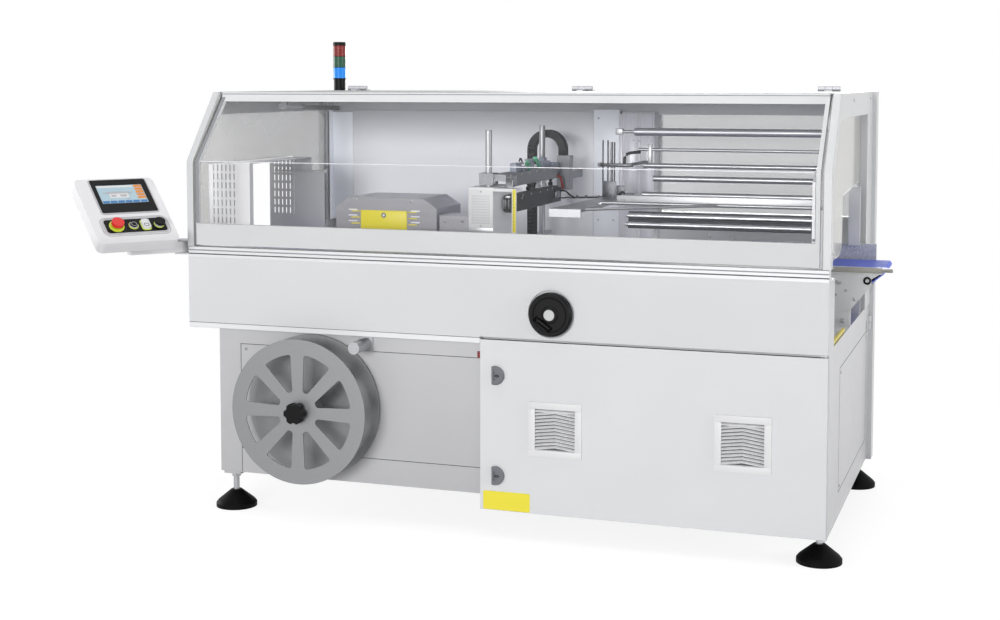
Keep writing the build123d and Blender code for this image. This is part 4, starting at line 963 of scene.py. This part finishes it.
def addEntryDress():
    # infeed end: speckled guard plate, knurled guide bar, ear with its pin, bracket and screws
    look = {"front": 604, "back": 916}
    front = look["front"]
    build = bmesh.new()
    boxInto(build, at(1902, look["back"] - 0.6, 852), at(2365, look["back"] + 0.3, 966), 0.3, 0)
    addPiece("guardPlate", build, ("speckSlate",))
    build = bmesh.new()
    boxInto(build, at(1502, 594.6, 896), at(2418, 596.4, 915), 0.8, 0)
    latheInto(build, [(0, -1), (6, 0), (6.5, 2), (6.5, 34), (5, 36), (0, 36)], at(2418, 600, 906), toRight, 20, 0)
    addPiece("guideBar", build, ("guideSteel",))
    build = bmesh.new()
    latheInto(build, [(14, -0.2), (14, 2.5), (8, 3.2), (7, 1.6)], at(2366, front, 868), toFront, 32, 1)
    latheInto(build, [(5.5, 0), (5.5, 3.8), (4.5, 4.6), (0, 4.6)], at(2366, front, 868), toFront, 28, 0)
    for x, z in ((2266, 855), (2292, 830), (2257, 814), (2272, 858), (2259, 860), (2322, 800)):
        screwInto(build, at(x, front, z), toFront, 5.5, 0, 0)
    corners = [at(x, front - 0.1, z) for x,
               z in ((2251, 748), (2251, 704), (2262, 696), (2292, 696), (2308, 712), (2310, 756),
                                                  (2251, 756))]
    plateInto(build, corners, toFront, 4, 2)
    boltInto(build, at(2282, front - 4, 722), toFront, 7.0, 0)
    addPiece("earFittings", build, ("zincScrew", "blackPlastic", "hoodWhite"))
    build = bmesh.new()
    tubeInto(build, [at(2301, 150, 711), at(2301, 300, 711), at(2301, 470, 711)], 7, 14, 0)
    addPiece("yellowBar", build, ("yellowBar",))
    build = bmesh.new()
    boxInto(build, at(2309.7, 1136, 602), at(2310.6, 1142, 646), 0, 1)
    for z in (606, 634):
        latheInto(build, [(7, 0), (7, 22), (6, 23), (0, 23)], at(2316, 1196, z), upward, 20, 0)
    boxInto(build, at(2309.8, 1168, 604), at(2312.5, 1206, 658), 0.6, 0)
    for y, z in ((1178, 650), (1178, 612)):
        screwInto(build, at(2312.5, y, z), toRight, 4.0, 0, 1)
    addPiece("rearHinge", build, ("hoodWhite", "lineDark"))


for makePiece in (addLines, addTunnelSlotShade, addHandwheelCap, addHeadDress, addLowerJawDress, addChainRibs,
                  addFormerRods, addPostStrips, addEntryDress, addVents, addDoorLabel, addLockSlots, addSeams,
                  addBodyScrews, addHousingPlate, addDottedPlate, addHeadScale, addScreenFrame, addScreenPicture,
                  addButtonDress, addPaneEdge, addHoodScrews):
    makePiece()

# Floor, light and camera


def addFloor():
    look = {"half": 12.0, "colour": (0.86, 0.86, 0.87, 1), "seen": 0.84, "seenDiffuse": 0.26, "fade": (2.4, 4.6)}
    build = bmesh.new()
    corners = [(-1, -1), (1, -1), (1, 1), (-1, 1)]
    build.faces.new([build.verts.new((x * look["half"], y * look["half"], 0)) for x, y in corners])
    mesh = bpy.data.meshes.new("floor")
    build.to_mesh(mesh)
    build.free()
    floor = bpy.data.objects.new("floor", mesh)
    bpy.context.scene.collection.objects.link(floor)
    material, tree, shader = startMaterial("floorWhite")
    tree.nodes.remove(shader)
    output = tree.nodes["Material Output"]
    plain = addNode(tree, "BsdfDiffuse", {"Color": look["colour"]})
    soft = addNode(tree, "BsdfDiffuse", {"Color": (look["seenDiffuse"],) * 3 + (1,)})
    glow = addNode(tree, "Emission", {"Strength": look["seen"]})
    both = addNode(tree, "AddShader", {0: soft.outputs["BSDF"], 1: glow.outputs["Emission"]})
    # away from the machine the floor turns into the plain backdrop
    reach = addNode(tree, "VectorMath", {0: objectPlace(tree)}, operation="LENGTH")
    fade = addRange(tree, reach.outputs["Value"], 0, 1, look["fade"], "SMOOTHSTEP")
    backdrop = addNode(tree, "Emission")
    faded = addNode(tree, "MixShader", {"Fac": fade, 1: both.outputs["Shader"], 2: backdrop.outputs["Emission"]})
    mix = addNode(tree, "MixShader", {"Fac": directView(tree), 1: plain.outputs["BSDF"], 2: faded.outputs["Shader"]})
    tree.links.new(mix.outputs["Shader"], output.inputs["Surface"])
    mesh.materials.append(material)


def directView(tree):
    # 1 for what the camera, a reflection or a clear sheet looks at
    path = addNode(tree, "LightPath").outputs
    first = addNode(tree, "Math", {0: path["Is Camera Ray"], 1: path["Is Glossy Ray"]}, operation="MAXIMUM")
    second = addNode(tree, "Math", {0: first.outputs[0], 1: path["Is Transmission Ray"]}, operation="MAXIMUM")
    return second.outputs[0]


def addWorld():
    look = {"light": 0.24, "seen": 1.0}
    world = bpy.data.worlds.new("studio")
    bpy.context.scene.world = world
    world.use_nodes = True
    tree = world.node_tree
    background = tree.nodes["Background"]
    background.inputs["Color"].default_value = (1, 1, 1, 1)
    background.inputs["Strength"].default_value = look["light"]
    seen = addNode(tree, "Background", {"Color": (1, 1, 1, 1), "Strength": look["seen"]})
    mix = addNode(tree, "MixShader", {"Fac": directView(tree), 1: background.outputs["Background"],
                                      2: seen.outputs["Background"]})
    tree.links.new(mix.outputs["Shader"], tree.nodes["World Output"].inputs["Surface"])


def addLamp(name, place, target, size, power, lit=()):
    data = bpy.data.lights.new(name, "AREA")
    data.shape = "RECTANGLE"
    data.size, data.size_y = size
    data.energy = power
    lamp = bpy.data.objects.new(name, data)
    lamp.location = place
    lamp.rotation_euler = (Vector(target) - Vector(place)).to_track_quat("-Z", "Y").to_euler()
    bpy.context.scene.collection.objects.link(lamp)
    if lit:  # a soft fill that only these nodes take, without shadows
        data.use_shadow = False
        receivers = bpy.data.collections.new(name + "Receivers")
        for node in lit:
            receivers.objects.link(nodes.get(node) or bpy.data.objects[node])
        lamp.light_linking.receiver_collection = receivers


def addCamera():
    look = {"place": at(2943.8, -5045.8, 1571.5), "turn": 19.031, "lens": 56.77, "pitch": 4.136, "shift": -0.115}
    data = bpy.data.cameras.new("photoCamera")
    data.sensor_width = 36
    data.lens = look["lens"]
    data.shift_y = look["shift"]
    camera = bpy.data.objects.new("photoCamera", data)
    camera.location = look["place"]
    camera.rotation_euler = (math.radians(90 - look["pitch"]), 0, math.radians(look["turn"]))
    bpy.context.scene.collection.objects.link(camera)
    bpy.context.scene.camera = camera


addFloor()
addWorld()
addLamp("frontSoftbox", (-0.6, -12.4, 2.7), (0, 0, 1.0), (5.0, 2.4), 790)
addLamp("topSoftbox", (0.3, -0.8, 4.8), (0, 0, 1.0), (4.0, 2.5), 60)
addLamp("rightSoftbox", (10.0, -1.5, 2.6), (0, 0, 0.9), (3.0, 2.4), 330)
addLamp("leftSoftbox", (-10.0, 1.5, 2.6), (0, 0, 0.9), (3.0, 2.4), 330)
addLamp("wallFill", (-0.6, -11.0, 2.7), (0, 0, 1.2), (4.0, 2.4), 150,
        ("back_wall", "roller_wall", "exit_tunnel", "postFace"))
addLamp("sideFill", (9.0, -5.5, 2.0), (0, 0, 1.1), (3.0, 2.4), 260, ("head_housing", "upper_jaw", "postCheek"))
addLamp("rearSoftbox", (-1.5, 12.4, 3.0), (0, 0, 1.0), (5.0, 2.4), 620)
addCamera()
bpy.context.scene.view_settings.view_transform = "Standard"
print("floor, light and camera set")
